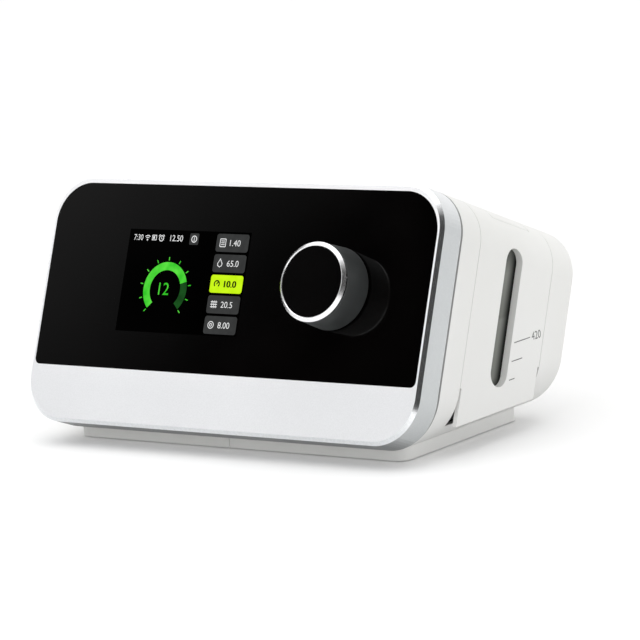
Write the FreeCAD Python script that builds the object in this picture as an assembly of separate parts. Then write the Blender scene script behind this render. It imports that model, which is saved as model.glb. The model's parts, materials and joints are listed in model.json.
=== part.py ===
import FreeCAD, Part
import math
import os

# CPAP machine with a built-in humidifier: leaning front, white case, side-loading water tank.
#
# Millimetres. X is the width, Y runs from the front to the rear, Z is up.
# Two working frames share the line where the front face meets its lower edge:
#   level frame    X, Y, Z as above, with Y = 0 on that line and Z = 0 on the table
#   leaning frame  x, depth and height, where depth runs into the case square to the front face and
#                  height runs up the face. Shapes are drawn upright in it and then leant back.

V = FreeCAD.Vector
X_AXIS, Y_AXIS, Z_AXIS = V(1, 0, 0), V(0, 1, 0), V(0, 0, 1)
QUARTER = (0, 45, 90)         # start, middle and end of a quarter arc, degrees

# ---- overall form
FACE_TILT = 21.6              # lean of the front, the rear and the roof, degrees
CASE_WIDTH = 236.4
FACE_HEIGHT = 123.4           # measured up the leaning face
CASE_DEPTH = 116.4            # front face to rear face, square to the face
UNDERSIDE_Z = 6.9             # underside of the case above the table
SIDE_RADIUS = 23.0            # long edges of the case and corners of the face
REAR_RADIUS = 6.0             # edges round the rear face
CASE_WALL = 2.6
GAP = 0.3                     # running gap between pieces that move past each other
SHAFT_PLAY = 0.05             # radial play of a shaft or pin in its hole
OVERCUT = 1.0                 # how far a cutting shape runs past the face it cuts
NEAR = 1e-6                   # two coordinates closer than this are the same
NEAR_AFTER_LEAN = 1e-4        # the same for places found by leaning a shape back
PARALLEL = 0.999              # cosine above which two directions are the same

# ---- front bezel and window
BEZEL_DEPTH = 15.2
BEZEL_FRONT_WALL = 3.8
BEZEL_SIDE_WALL = 2.4
BEZEL_CHAMFER = 1.7
WINDOW_MARGIN = 2.75          # face edge to window, at the sides
WINDOW_TOP_MARGIN = 4.0
BAND_HEIGHT = 27.75           # silver band below the window, up the face
WINDOW_TOP_RADIUS = 20.0
WINDOW_FOOT_RADIUS = 3.0
WINDOW_THICK = 2.0
WINDOW_SINK = 0.15            # window surface behind the bezel's rim
WINDOW_LEDGE = 3.6            # width that the window is glued on
LIP_THICK = 1.6               # tongue of the bezel that enters the case
LIP_PLAY = 0.1
LIP_DEPTH = 20.0
BRIDGE_SET_BACK = 2.0         # end of the rib between bezel wall and tongue
BOSS_WALL = 2.35              # round a screw hole
SCREW_BITE = 1.9              # depth of a screw hole into the bezel's front wall
SCREW_RELIEF = 0.3
SEAM_GAP = 1.3                # dark joint between bezel and case
SEAM_SINK = 1.3

# ---- display and front frame
CONTROL_DROP = 51.6           # centre line of screen and knob, down from the face's upper edge
SCREEN_X = -29.7
SCREEN_WIDTH = 73.44
SCREEN_HEIGHT = 48.96
SCREEN_BORDER = 0.8
DISPLAY_WIDTH = 85.0
DISPLAY_HEIGHT = 56.0
DISPLAY_BACK = 5.5
FRAME_THICK = 1.5
FRAME_SCREW_INSET = 28.2      # outer frame screws from the case's sides
FRAME_SCREW_DROP = 6.75       # frame screws below the window
FRAME_EAR_END = 6.0           # frame ear past its screw
FRAME_EAR_WIDTH = 12.0
FRAME_RIM_WALL = 1.3
FRAME_LEDGE = 6.0             # overlap of the frame on the display's back

# ---- knob and rotary encoder
KNOB_X = 62.0
KNOB_FRONT = 19.0             # how far the knob stands out of the face
KNOB_BASE_RADIUS = 19.9
KNOB_FRONT_RADIUS = 19.0
KNOB_BASE_GAP = 1.0
KNOB_PUSH = 0.6
KNOB_WALL = 2.6
RING_INNER_RADIUS = 16.95
RING_DEPTH = 2.4
CAP_SINK = 0.5
SHAFT_RADIUS = 3.0
BUSHING_RADIUS = 4.2
BUSHING_PROUD = 3.0           # bushing in front of the face
ENCODER_SIZE = 13.0
ENCODER_DEPTH = 7.5
ENCODER_END = 1.0             # closed end behind the encoder's bore
PLUNGER_THICK = 1.5
NUT_CORNER_RADIUS = 6.5
NUT_THICK = 2.0
KNOB_HUB_GAP = 1.0            # between the bushing and the knob's hub, along the shaft
KNOB_HUB_WALL = 3.0
KNOB_SKIRT_BEVEL = (0.3, 0.6)
RING_BEVEL = (1.5, 1.4)       # conical front edge of the ring: inwards, back
RING_INNER_EDGE = 0.3
RING_STEP = 0.05              # ring inside the barrel's line

# ---- boards behind the front
BOARD_THICK = 1.6
BOARD_DEPTH = 19.0            # front of the main board behind the face
BOARD_INSET_LEFT = 8.2        # from the case's left side
BOARD_INSET_RIGHT = 18.2
BOARD_FOOT = 16.0             # from the face's lower edge
BOARD_DROP = 16.6             # from the face's upper edge
STANDOFF_RADIUS = 3.0
STANDOFF_INSET_LEFT = 24.0    # from the board's left side
STANDOFF_INSET_RIGHT = 16.0
STANDOFF_FOOT = 18.0          # from the board's lower edge
STANDOFF_DROP = 8.0           # from the board's upper edge
BOARD_SCREW_LENGTH = 5.0      # below the board
CHIP_THICK = 1.6
PROCESSOR_SIZE = 16.0
RADIO_SIZE = (14.0, 10.0)
DRIVER_SIZE = 9.0
CONNECTOR_SIZE = (22.0, 6.0)
CHIP_PITCH = 27.0             # from the processor to each of the others
SCREW_RADIUS = 1.25
SCREW_HEAD_RADIUS = 2.6
SCREW_HEAD_HEIGHT = 1.5

# ---- memory card
CARD_LENGTH = 32.0
CARD_WIDTH = 24.0
CARD_THICK = 2.1
CARD_HEIGHT = 52.0            # centre of the card up the face
CARD_SINK = 0.7               # card end behind the case side
CARD_CORNER = 4.0
CARD_LIFT = 0.7               # card above the board
SOCKET_WALL = 1.3
SOCKET_ROOF = 0.9
SOCKET_MOUTH = 8.0            # card that stands out of the socket

# ---- start/stop button on the roof
BUTTON_INSET = 56.2           # from the case's left side
BUTTON_DEPTH = 34.0
BUTTON_RADIUS = 8.0
BUTTON_TRAVEL = 1.0
BUTTON_LENGTH = 4.4
BUTTON_PROUD = 0.3
BUTTON_EDGE_RADIUS = 0.6
SWITCH_SIZE = 6.0
SWITCH_HEIGHT = 3.5
BUTTON_BOARD_SIZE = 26.0
COLLAR_WALL = 2.0

# ---- plinth, feet and base
PLINTH_INSET = 18.8           # from the case's sides
PLINTH_FRONT_Y = 20.0
PLINTH_REAR_INSET = 7.6       # from the underside's rear edge
PLINTH_RADIUS = 6.0
PLINTH_SEAM_X = -4.0
PLINTH_SEAM = 0.4
PLINTH_WALL = 2.4
PLINTH_FLOOR = 2.0
FOOT_PROUD = 0.6
FOOT_RADIUS = 7.0
FOOT_THICK = 1.8
FOOT_INSET_X = 14.0
FOOT_INSET_Y = 28.0
BASE_HOLE_INSET_X = 18.0      # from the plinth's sides
BASE_HOLE_INSET_Y = 13.0
BASE_PAN_EDGE_X = 12.0        # overlap of the base pan on the case floor
BASE_PAN_EDGE_Y = 10.0
BASE_PAN_THICK = 2.0
BASE_SCREW_RADIUS = 1.6
BASE_SCREW_INSET_X = 10.0     # from the plinth's sides and its seam
BASE_SCREW_INSET_Y = 7.2
BASE_BOSS_RADIUS = 4.0
BASE_BOSS_HEIGHT = 3.0
BASE_BOSS_CAP = 0.8           # closed end of a boss
BASE_SCREW_RELIEF = 0.4       # hole past the screw's tip

# ---- tank panel, level window and latch
PANEL_FRONT_DEPTH = 31.5      # opening in the case side
PANEL_REAR_INSET = 22.2       # from the case's rear
PANEL_FOOT_Z = 14.6
PANEL_SEAM_INSET = 25.2       # seam on the roof, from the case's right side
PANEL_THICK = 2.2
SLIT_WIDTH = 1.1
SLIT_OVERLAP = 0.1            # slit past the panel's edge
FRONT_SLIT_TOP_Z = 31.2
REAR_SLIT_TOP_Z = 28.3
LEVEL_SLOT_INSET = 23.0       # from the panel's front
LEVEL_SLOT_WIDTH = 13.7
LEVEL_SLOT_FOOT = 39.1        # from the face's lower edge, up the face
LEVEL_SLOT_DROP = 18.0        # from the roof
LEVEL_SLOT_SINK = 3.6
LEVEL_RIM = 1.2
LENS_THICK = 1.5
PANEL_JOIN = 0.5              # how far ribs and rim run into the panel
PANEL_RIB_THICK = 2.0
PANEL_RIB_INSET = 5.0         # from the tank's front and rear
PANEL_RIB_FOOT = 44.0
PANEL_RIB_DROP = 26.6
LATCH_INSET = 13.3            # from the panel's rear
LATCH_LENGTH = 31.5
LATCH_INSET_X = 7.6           # from the case's right side
LATCH_WIDTH = 13.6
LATCH_GAP = 0.35
LATCH_TRAVEL = 1.5
LATCH_STEM_WIDTH = 10.0

# ---- tank bay
BAY_WALL = 1.6
BAY_LEFT_WALL = 2.0
BAY_LEFT_X = 20.0             # inner face of the bay's closed end
BAY_FLOOR_Z = 15.4
BAY_DROP = 10.6               # inner face of the bay's roof, down from the case's roof
BAY_LEG_RADIUS = 3.0
BAY_LEG_INSET_X = 8.0         # from the bay's closed end
BAY_LEG_INSET_Y = 7.7         # from the bay's front and rear walls
BAY_RIB_THICK = 2.0           # rib between the bay's roof and the case's
BAY_RIB_INSET = 2.0           # from the panel's seam

# ---- water tank
TANK_PLAY_FRONT = 3.5         # tank to the panel's front edge
TANK_PLAY_REAR = 3.2
TANK_END_PLAY = 4.0           # tank to the bay's closed end
TANK_SIDE_INSET = 5.7         # tank's outer end from the case's right side
TANK_WALL = 2.0
TANK_FLOOR_Z = 17.0
TANK_SPLIT_Z = 46.5
TANK_SEAL = 1.0
TANK_DROP = 2.5               # tank's roof below the bay's roof
TANK_RADIUS = 7.0
TANK_RUNNER = 3.0
PORT_RADIUS = 9.0
PORT_WALL = 1.5
PORT_DROP = 23.5              # ports below the tank's roof
PORT_SPACING = 26.0
SEAL_THICK = 2.2
SEAL_WALL = 1.9
PLATE_INSET_LEFT = 11.0       # from the tank's closed end
PLATE_INSET_RIGHT = 15.5
PLATE_INSET_Y = 7.2
PLATE_THICK = 1.0

# ---- heater
HEATER_THICK = 3.0
HEATER_MARGIN = 2.0

# ---- blower
BLOWER_X = -62.0
BLOWER_OFF_MIDDLE = 3.8       # behind the middle between the main board and the filter frame
VOLUTE_START_RADIUS = 25.0
VOLUTE_GROWTH = 4.0           # per quarter turn
VOLUTE_WALL = 2.0
VOLUTE_FLOOR_Z = 28.0
VOLUTE_HEIGHT = 18.0
VOLUTE_TONGUE = 2.0           # thickness of the cutwater between spiral and outlet
VOLUTE_SHAFT_HOLE = 3.0
OUTLET_BLOCK_REACH = 32.0     # from the blower's centre
STUB_LENGTH = 8.0
STUB_RADIUS = 8.4
BLOWER_BORE = 6.4
IMPELLER_RADIUS = 22.0
IMPELLER_EYE_RADIUS = 10.0
IMPELLER_HEIGHT = 10.0
IMPELLER_LIFT = 1.0           # back plate above the volute's floor
IMPELLER_HUB_RADIUS = 5.0
IMPELLER_BLADES = 9
BLADE_THICK = 1.2
BLADE_SWEEP = 50.0            # degrees from hub to rim
COLLAR_RADIUS = 15.0
COLLAR_HEIGHT = 4.0
MOTOR_RADIUS = 16.0
MOTOR_HEIGHT = 14.0
MOTOR_END_WALL = 2.0
MOTOR_SHAFT_RADIUS = 2.0
MOTOR_SHAFT_END_PLAY = 0.2
MOUNT_RADIUS = 4.0
MOUNT_CIRCLE = 26.0
MOUNT_TURNS = (30, 150, 270)
MOUNT_WAIST_RADIUS = 2.8
MOUNT_WAIST_HEIGHT = 4.0

# ---- intake side
MUFFLER_INSET = 14.2          # from the case's left side
MUFFLER_RIGHT_X = -26.0
MUFFLER_LIFT = 2.0            # bellows between the blower's collar and the muffler
MUFFLER_HEIGHT = 16.0
MUFFLER_REACH = 32.0          # in front of the blower's centre
MUFFLER_WALL = 1.6
FOAM_THICK = 5.0
FILTER_INSET = 20.2           # from the case's left side
FILTER_RIGHT_X = -42.0
FILTER_DROP = 18.0            # from the roof
FILTER_HEIGHT = 37.0
INTAKE_LIP = 0.8              # lip round the passage inside the muffler
FILTER_FRAME_LENGTH = 13.1    # inside the rear wall
FILTER_FRAME_WALL = 1.8
FILTER_BACK = 1.4
FILTER_THICK = 5.0
FILTER_PLEAT = 4.0
INTAKE_MARGIN = 2.5           # frame round the passage from the filter to the muffler
COVER_THICK = 3.2
COVER_PIN_RADIUS = 0.7
COVER_PIN_LENGTH = 2.0
COVER_SLOTS = 8
COVER_SLOT_WIDTH = 1.8
COVER_SLOT_MARGIN = 7.0       # from the cover's sides
COVER_FOOT = 5.5              # plain cover below the slots
COVER_HEAD = 2.5              # plain cover above the slots
NOTCH_RADIUS = 2.2            # finger notch in the cover's upper edge
NOTCH_LENGTH = 14.0
NOTCH_OFFSET = 0.8

# ---- ducts and outlet
DUCT_RADIUS = 9.0
DUCT_BORE = 7.5
DUCT_BEND = 14.0
BLOWER_DUCT_BEND = 11.0
OUTLET_GAP = 28.0             # outlet's centre line from the tank bay, and the blower duct's rise
OUTLET_RADIUS = 11.0          # 22 mm hose fitting
OUTLET_BORE = 8.6
OUTLET_PROUD = 22.0
OUTLET_FLANGE_RADIUS = 16.0
OUTLET_FLANGE_THICK = 2.0
OUTLET_INSIDE = 8.9           # fitting inside the rear wall
OUTLET_INNER_FLANGE = 2.5     # inner flange past the tube
OUTLET_EDGE = 0.8
OUTLET_TIP = 1.0              # bevelled end of the fitting
SENSOR_WIDTH = 12.0
SENSOR_LENGTH = 10.0
SENSOR_HEIGHT = 6.0
SENSOR_GAP = 8.0              # sensor's middle in front of the fitting

# ---- power inlet
INLET_X = 36.0
INLET_DROP = 18.0             # power inlet below the outlet
INLET_RADIUS = 5.9
INLET_BORE = 3.2
INLET_BORE_DEPTH = 9.5
INLET_PIN_RADIUS = 1.0
POWER_BOARD_BACK = 16.9       # front of the power board before the inside of the rear wall
POWER_BOARD_GAP = 2.0         # from the plane of the bay's closed end
POWER_BOARD_INSET = 20.2      # from the case's right side
POWER_BOARD_FOOT = 10.0       # below the inlet
POWER_BOARD_DROP = 20.6       # from the roof
CAPACITOR_RADIUS = 4.0
CAPACITOR_LENGTH = 9.0
CAPACITOR_PITCH = 12.0
CHOKE_SIZE = 11.0
CHOKE_PROUD = 6.0
REGULATOR_SIZE = 9.0
REGULATOR_PROUD = 3.0
INLET_FLANGE = 1.0            # inlet housing round the barrel, inside the wall
INLET_PIN_SINK = 1.0

# ---- speaker
SPEAKER_RADIUS = 11.0
SPEAKER_HEIGHT = 6.0
SPEAKER_PLACE = (18.0, 25.0)  # from the plinth's left side and front

# ---- values that follow from the sizes above
HALF_WIDTH = CASE_WIDTH / 2
SIN, COS = math.sin(math.radians(FACE_TILT)), math.cos(math.radians(FACE_TILT))
FACE_FOOT_Z = UNDERSIDE_Z + BEZEL_DEPTH * SIN


def level_point(x, depth, height):
    """The level-frame point of a place in the leaning frame."""
    return V(x, height * SIN + depth * COS, FACE_FOOT_Z + height * COS - depth * SIN)


def y_at(depth, z):
    """Where the plane at this depth behind the face is, at this level height."""
    return (depth + (z - FACE_FOOT_Z) * SIN) / COS


def widened(limits, amount):
    return (limits[0] - amount, limits[1] + amount)


def centred(centre, size):
    return (centre - size / 2, centre + size / 2)


# case, front and boards
CASE_FRONT = BEZEL_DEPTH + SEAM_GAP
CASE_INNER_REAR = CASE_DEPTH - CASE_WALL
CASE_FLOOR_Z = UNDERSIDE_Z + CASE_WALL
WINDOW_XS = (-HALF_WIDTH + WINDOW_MARGIN, HALF_WIDTH - WINDOW_MARGIN)
WINDOW_HEIGHTS = (BAND_HEIGHT, FACE_HEIGHT - WINDOW_TOP_MARGIN)
WINDOW_BACK = WINDOW_SINK + WINDOW_THICK
CONTROL_HEIGHT = FACE_HEIGHT - CONTROL_DROP
FRAME_BACK = DISPLAY_BACK + FRAME_THICK
FRAME_SCREW_XS = (-HALF_WIDTH + FRAME_SCREW_INSET, 0, HALF_WIDTH - FRAME_SCREW_INSET)
FRAME_SCREW_HEIGHT = BAND_HEIGHT - FRAME_SCREW_DROP
BOARD_BACK = BOARD_DEPTH + BOARD_THICK
BOARD_X = (-HALF_WIDTH + BOARD_INSET_LEFT, HALF_WIDTH - BOARD_INSET_RIGHT)
BOARD_HEIGHTS = (BOARD_FOOT, FACE_HEIGHT - BOARD_DROP)
STANDOFF_XS = (BOARD_X[0] + STANDOFF_INSET_LEFT, BOARD_X[1] - STANDOFF_INSET_RIGHT)
STANDOFF_HEIGHTS = (BOARD_HEIGHTS[0] + STANDOFF_FOOT, BOARD_HEIGHTS[1] - STANDOFF_DROP)
KNOB_AXIS = (KNOB_X, CONTROL_HEIGHT)
CARD_DEPTHS = (BOARD_BACK + CARD_LIFT, BOARD_BACK + CARD_LIFT + CARD_THICK)
CARD_X = -HALF_WIDTH + CARD_SINK
BUTTON_X = -HALF_WIDTH + BUTTON_INSET
BUTTON_BOARD_TOP = FACE_HEIGHT + BUTTON_PROUD - BUTTON_LENGTH - BUTTON_TRAVEL - GAP - SWITCH_HEIGHT

# base and plinth
PAN_TOP_Z = CASE_FLOOR_Z + BASE_PAN_THICK
PLINTH_HALF_WIDTH = HALF_WIDTH - PLINTH_INSET
PLINTH_Y = (PLINTH_FRONT_Y, y_at(CASE_DEPTH, UNDERSIDE_Z) - PLINTH_REAR_INSET)
PLINTH_FLOOR_Z = FOOT_PROUD + PLINTH_FLOOR
BASE_HOLE_X = widened((-PLINTH_HALF_WIDTH, PLINTH_HALF_WIDTH), -BASE_HOLE_INSET_X)
BASE_HOLE_Y = widened(PLINTH_Y, -BASE_HOLE_INSET_Y)
BASE_SCREW_YS = widened(PLINTH_Y, -BASE_SCREW_INSET_Y)
BASE_SCREW_TIP_Z = PAN_TOP_Z + BASE_BOSS_HEIGHT - BASE_BOSS_CAP - BASE_SCREW_RELIEF
SPEAKER_CENTRE = (-PLINTH_HALF_WIDTH + SPEAKER_PLACE[0], PLINTH_Y[0] + SPEAKER_PLACE[1])

# tank panel
PANEL_DEPTHS = (PANEL_FRONT_DEPTH, CASE_DEPTH - PANEL_REAR_INSET)
PANEL_SEAM_X = HALF_WIDTH - PANEL_SEAM_INSET
PANEL_XS = (HALF_WIDTH - PANEL_THICK, HALF_WIDTH)
PANEL_RIB_HEIGHTS = (PANEL_RIB_FOOT, FACE_HEIGHT - PANEL_RIB_DROP)
LEVEL_SLOT_FRONT = PANEL_FRONT_DEPTH + LEVEL_SLOT_INSET
LEVEL_SLOT_DEPTHS = (LEVEL_SLOT_FRONT, LEVEL_SLOT_FRONT + LEVEL_SLOT_WIDTH)
LEVEL_SLOT_HEIGHTS = (LEVEL_SLOT_FOOT, FACE_HEIGHT - LEVEL_SLOT_DROP)
LENS_XS = (HALF_WIDTH - LEVEL_SLOT_SINK - LENS_THICK, HALF_WIDTH - LEVEL_SLOT_SINK)
LATCH_DEPTHS = (PANEL_DEPTHS[1] - LATCH_INSET - LATCH_LENGTH, PANEL_DEPTHS[1] - LATCH_INSET)
LATCH_XS = (HALF_WIDTH - LATCH_INSET_X - LATCH_WIDTH, HALF_WIDTH - LATCH_INSET_X)

# tank and bay
BAY_END_X = BAY_LEFT_X - BAY_LEFT_WALL
BAY_LOW_Z = BAY_FLOOR_Z - BAY_LEFT_WALL
BAY_ROOF = FACE_HEIGHT - BAY_DROP
TANK_DEPTHS = (PANEL_DEPTHS[0] + TANK_PLAY_FRONT, PANEL_DEPTHS[1] - TANK_PLAY_REAR)
TANK_XS = (BAY_LEFT_X + TANK_END_PLAY, HALF_WIDTH - TANK_SIDE_INSET)
TANK_TOP = BAY_ROOF - TANK_DROP
LID_FLOOR_Z = TANK_SPLIT_Z + TANK_SEAL
PORT_HEIGHT = TANK_TOP - PORT_DROP
PORT_DEPTHS = centred(sum(TANK_DEPTHS) / 2, PORT_SPACING)
PLATE_XS = (TANK_XS[0] + PLATE_INSET_LEFT, TANK_XS[1] - PLATE_INSET_RIGHT)
PLATE_YS = widened((y_at(TANK_DEPTHS[0], TANK_FLOOR_Z), y_at(TANK_DEPTHS[1], TANK_FLOOR_Z)), -PLATE_INSET_Y)
HEATER_TOP_Z = TANK_FLOOR_Z - PLATE_THICK - GAP
BAY_LEG_XS = (BAY_LEFT_X + BAY_LEG_INSET_X, BASE_HOLE_X[1])
BAY_LEG_YS = widened((y_at(PANEL_DEPTHS[0], BAY_LOW_Z), y_at(PANEL_DEPTHS[1], BAY_LOW_Z)), -BAY_LEG_INSET_Y)

# blower and intake
FILTER_FRAME_DEPTH = CASE_INNER_REAR - FILTER_FRAME_LENGTH
VOLUTE_TOP_Z = VOLUTE_FLOOR_Z + VOLUTE_HEIGHT
BLOWER_CENTRE = (BLOWER_X, BLOWER_OFF_MIDDLE
                 + (y_at(BOARD_BACK, VOLUTE_TOP_Z) + y_at(FILTER_FRAME_DEPTH, VOLUTE_TOP_Z)) / 2)
VOLUTE_END_RADIUS = VOLUTE_START_RADIUS + 3 * VOLUTE_GROWTH
OUTLET_BLOCK_END_X = BLOWER_CENTRE[0] + OUTLET_BLOCK_REACH
COLLAR_TOP_Z = VOLUTE_TOP_Z + COLLAR_HEIGHT
MOTOR_END_Z = VOLUTE_FLOOR_Z - MOTOR_HEIGHT + MOTOR_END_WALL
IMPELLER_FLOOR_Z = VOLUTE_FLOOR_Z + VOLUTE_WALL + IMPELLER_LIFT
MUFFLER_X = (-HALF_WIDTH + MUFFLER_INSET, MUFFLER_RIGHT_X)
MUFFLER_Z = (COLLAR_TOP_Z + MUFFLER_LIFT, COLLAR_TOP_Z + MUFFLER_LIFT + MUFFLER_HEIGHT)
MUFFLER_FRONT_Y = BLOWER_CENTRE[1] - MUFFLER_REACH
FILTER_X = (-HALF_WIDTH + FILTER_INSET, FILTER_RIGHT_X)
FILTER_HEIGHTS = (FACE_HEIGHT - FILTER_DROP - FILTER_HEIGHT, FACE_HEIGHT - FILTER_DROP)
COVER_PIVOT = (CASE_DEPTH - COVER_THICK / 2, FILTER_HEIGHTS[0] + GAP + COVER_THICK / 2)

# outlet and power
OUTLET_X = BAY_LEFT_X - OUTLET_GAP
OUTLET_INNER_DEPTH = CASE_INNER_REAR - OUTLET_INSIDE
INLET_HEIGHT = PORT_HEIGHT - INLET_DROP
POWER_BOARD_DEPTH = CASE_INNER_REAR - POWER_BOARD_BACK
POWER_BOARD_X = (BAY_LEFT_X + POWER_BOARD_GAP, HALF_WIDTH - POWER_BOARD_INSET)
POWER_BOARD_HEIGHTS = (INLET_HEIGHT - POWER_BOARD_FOOT, FACE_HEIGHT - POWER_BOARD_DROP)


# ---- frames and shared shapes

def lean(shape):
    """Puts an upright shape (x, depth, height) in its place on the leaning case."""
    placed = shape.copy()
    placed.rotate(V(0, 0, 0), X_AXIS, -FACE_TILT)
    placed.translate(V(0, 0, FACE_FOOT_Z))
    return placed


def block(x_range, y_range, z_range):
    low = V(x_range[0], y_range[0], z_range[0])
    return Part.makeBox(x_range[1] - x_range[0], y_range[1] - y_range[0], z_range[1] - z_range[0], low)


def polar_xz(radius, turn):
    return V(radius * math.cos(math.radians(turn)), 0, radius * math.sin(math.radians(turn)))


def polar_xy(radius, turn):
    return V(radius * math.cos(math.radians(turn)), radius * math.sin(math.radians(turn)), 0)


def rounded_slab(x_range, y_range, z_range, radii):
    """Slab across Y with rounded corners: bottom left, bottom right, top right, top left."""
    (x0, x1), (z0, z1) = x_range, z_range
    y0 = y_range[0]
    corners = ((x0, z0, 180), (x1, z0, 270), (x1, z1, 0), (x0, z1, 90))
    inward = ((1, 1), (-1, 1), (-1, -1), (1, -1))
    edges = []
    points = []
    for (x, z, start), (ix, iz), radius in zip(corners, inward, radii):
        if radius > 0:
            centre = V(x + ix * radius, y0, z + iz * radius)
            points.append([centre + polar_xz(radius, start + turn) for turn in QUARTER])
        else:
            points.append([V(x, y0, z)])
    for corner, following in zip(points, points[1:] + points[:1]):
        if len(corner) == 3:
            edges.append(Part.Arc(*corner).toShape())
        if corner[-1].distanceToPoint(following[0]) > NEAR:
            edges.append(Part.LineSegment(corner[-1], following[0]).toShape())
    return Part.Face(Part.Wire(edges)).extrude(V(0, y_range[1] - y0, 0))


def outline_slab(inset, y_range):
    """Slab with the face's outline, drawn in by an inset."""
    radius = SIDE_RADIUS - inset
    return rounded_slab(widened((-HALF_WIDTH, HALF_WIDTH), -inset), y_range,
                        widened((0, FACE_HEIGHT), -inset), [radius] * 4)


def window_slab(inset, y_range):
    """Slab with the window's outline, drawn in by an inset."""
    foot, top = max(WINDOW_FOOT_RADIUS - inset, 0), WINDOW_TOP_RADIUS - inset
    return rounded_slab(widened(WINDOW_XS, -inset), y_range, widened(WINDOW_HEIGHTS, -inset),
                        [foot, foot, top, top])


def prism_x(points, x_range):
    """Prism along X over (y, z) points."""
    wire = Part.makePolygon([V(x_range[0], y, z) for y, z in points + points[:1]])
    return Part.Face(wire).extrude(V(x_range[1] - x_range[0], 0, 0))


def leaning_prism(x_range, depths, z_low, height=None, z_high=None):
    """Prism with a level floor, leaning front and rear, and a roof that is leaning or level."""
    points = [(y_at(depths[0], z_low), z_low), (y_at(depths[1], z_low), z_low)]
    if height is None:
        points += [(y_at(depths[1], z_high), z_high), (y_at(depths[0], z_high), z_high)]
    else:
        for depth in reversed(depths):
            top = level_point(0, depth, height)
            points.append((top.y, top.z))
    return prism_x(points, x_range)


def rod_y(radius, y_range, x, z):
    return Part.makeCylinder(radius, y_range[1] - y_range[0], V(x, y_range[0], z), Y_AXIS)


def rod_z(radius, z_range, x, y):
    return Part.makeCylinder(radius, z_range[1] - z_range[0], V(x, y, z_range[0]), Z_AXIS)


def rod_x(radius, x_range, y, z):
    return Part.makeCylinder(radius, x_range[1] - x_range[0], V(x_range[0], y, z), X_AXIS)


def turned_y(profile, x, z):
    """Solid of revolution about the line along Y through (x, z), from (radius, y) points."""
    wire = Part.makePolygon([V(x + radius, y, z) for radius, y in profile + profile[:1]])
    return Part.Face(wire).revolve(V(x, 0, z), Y_AXIS, 360)


def joined(shapes):
    shapes = list(shapes)
    return shapes[0].multiFuse(shapes[1:]).removeSplitter() if len(shapes) > 1 else shapes[0]


def without(shape, tools):
    return shape.cut(list(tools))


def bent_path(points, radius):
    """Wire through the points, with an arc of this radius at each inner point."""
    edges = []
    start = points[0]
    for before, corner, after in zip(points, points[1:], points[2:]):
        arriving = (corner - before).normalize()
        leaving = (after - corner).normalize()
        reach = radius * math.tan(arriving.getAngle(leaving) / 2)
        first = corner - arriving * reach
        last = corner + leaving * reach
        across = (leaving - arriving * arriving.dot(leaving)).normalize()
        centre = first + across * radius
        middle = centre + (corner - centre).normalize() * radius
        edges.append(Part.LineSegment(start, first).toShape())
        edges.append(Part.Arc(first, middle, last).toShape())
        start = last
    edges.append(Part.LineSegment(start, points[-1]).toShape())
    return Part.Wire(edges)


def swept_tube(points, bend, outer, inner):
    path = bent_path(points, bend)
    direction = points[1] - points[0]
    solids = []
    for radius in (outer, inner):
        circle = Part.Wire(Part.makeCircle(radius, points[0], direction))
        solids.append(path.makePipeShell([circle], True, True))
    return solids[0].cut(solids[1])


# ---- case

def case_block(inset):
    """The case's outer form, drawn in by an inset: leaning roof and rear, level floor, rounded edges."""
    front, rear, top, low = CASE_FRONT, CASE_DEPTH - inset, FACE_HEIGHT - inset, UNDERSIDE_Z + inset
    raw = leaning_prism(widened((-HALF_WIDTH, HALF_WIDTH), -inset), (front, rear), low, height=top)

    def depth_of(point):
        return point.y * COS - (point.z - FACE_FOOT_Z) * SIN

    def is_long_edge(edge):
        ends = [vertex.Point for vertex in edge.Vertexes]
        return abs(ends[0].x - ends[1].x) < NEAR and abs(depth_of(ends[0]) - depth_of(ends[1])) > rear / 2

    def is_rear_edge(edge):
        return all(abs(depth_of(vertex.Point) - rear) < NEAR_AFTER_LEAN for vertex in edge.Vertexes)

    sided = raw.makeFillet(SIDE_RADIUS - inset, [edge for edge in raw.Edges if is_long_edge(edge)])
    return sided.makeFillet(REAR_RADIUS - inset, [edge for edge in sided.Edges if is_rear_edge(edge)])


def room_above(z):
    """All the space over this level."""
    return block((-CASE_WIDTH, CASE_WIDTH), (-CASE_DEPTH, 3 * CASE_DEPTH), (z, 2 * FACE_HEIGHT))


def tank_opening():
    """What the tank panel takes out of the case: the side from the bay's sill up and over the roof's edge."""
    upright = block((PANEL_SEAM_X, HALF_WIDTH + OVERCUT), PANEL_DEPTHS, (-FACE_HEIGHT, FACE_HEIGHT + OVERCUT))
    return lean(upright).common(room_above(BAY_FLOOR_Z - GAP))


def upright_rod(radius, height_range, x, depth):
    """Rod square to the roof."""
    return lean(rod_z(radius, height_range, x, depth))


def card_slot(clearance, x_range):
    return lean(block(x_range, widened(CARD_DEPTHS, clearance),
                      widened(centred(CARD_HEIGHT, CARD_WIDTH), clearance)))


def base_screw_places():
    xs = [-PLINTH_HALF_WIDTH + BASE_SCREW_INSET_X, PLINTH_SEAM_X - BASE_SCREW_INSET_X,
          PLINTH_SEAM_X + BASE_SCREW_INSET_X, PLINTH_HALF_WIDTH - BASE_SCREW_INSET_X]
    return [(x, y) for x in xs for y in BASE_SCREW_YS]


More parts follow.
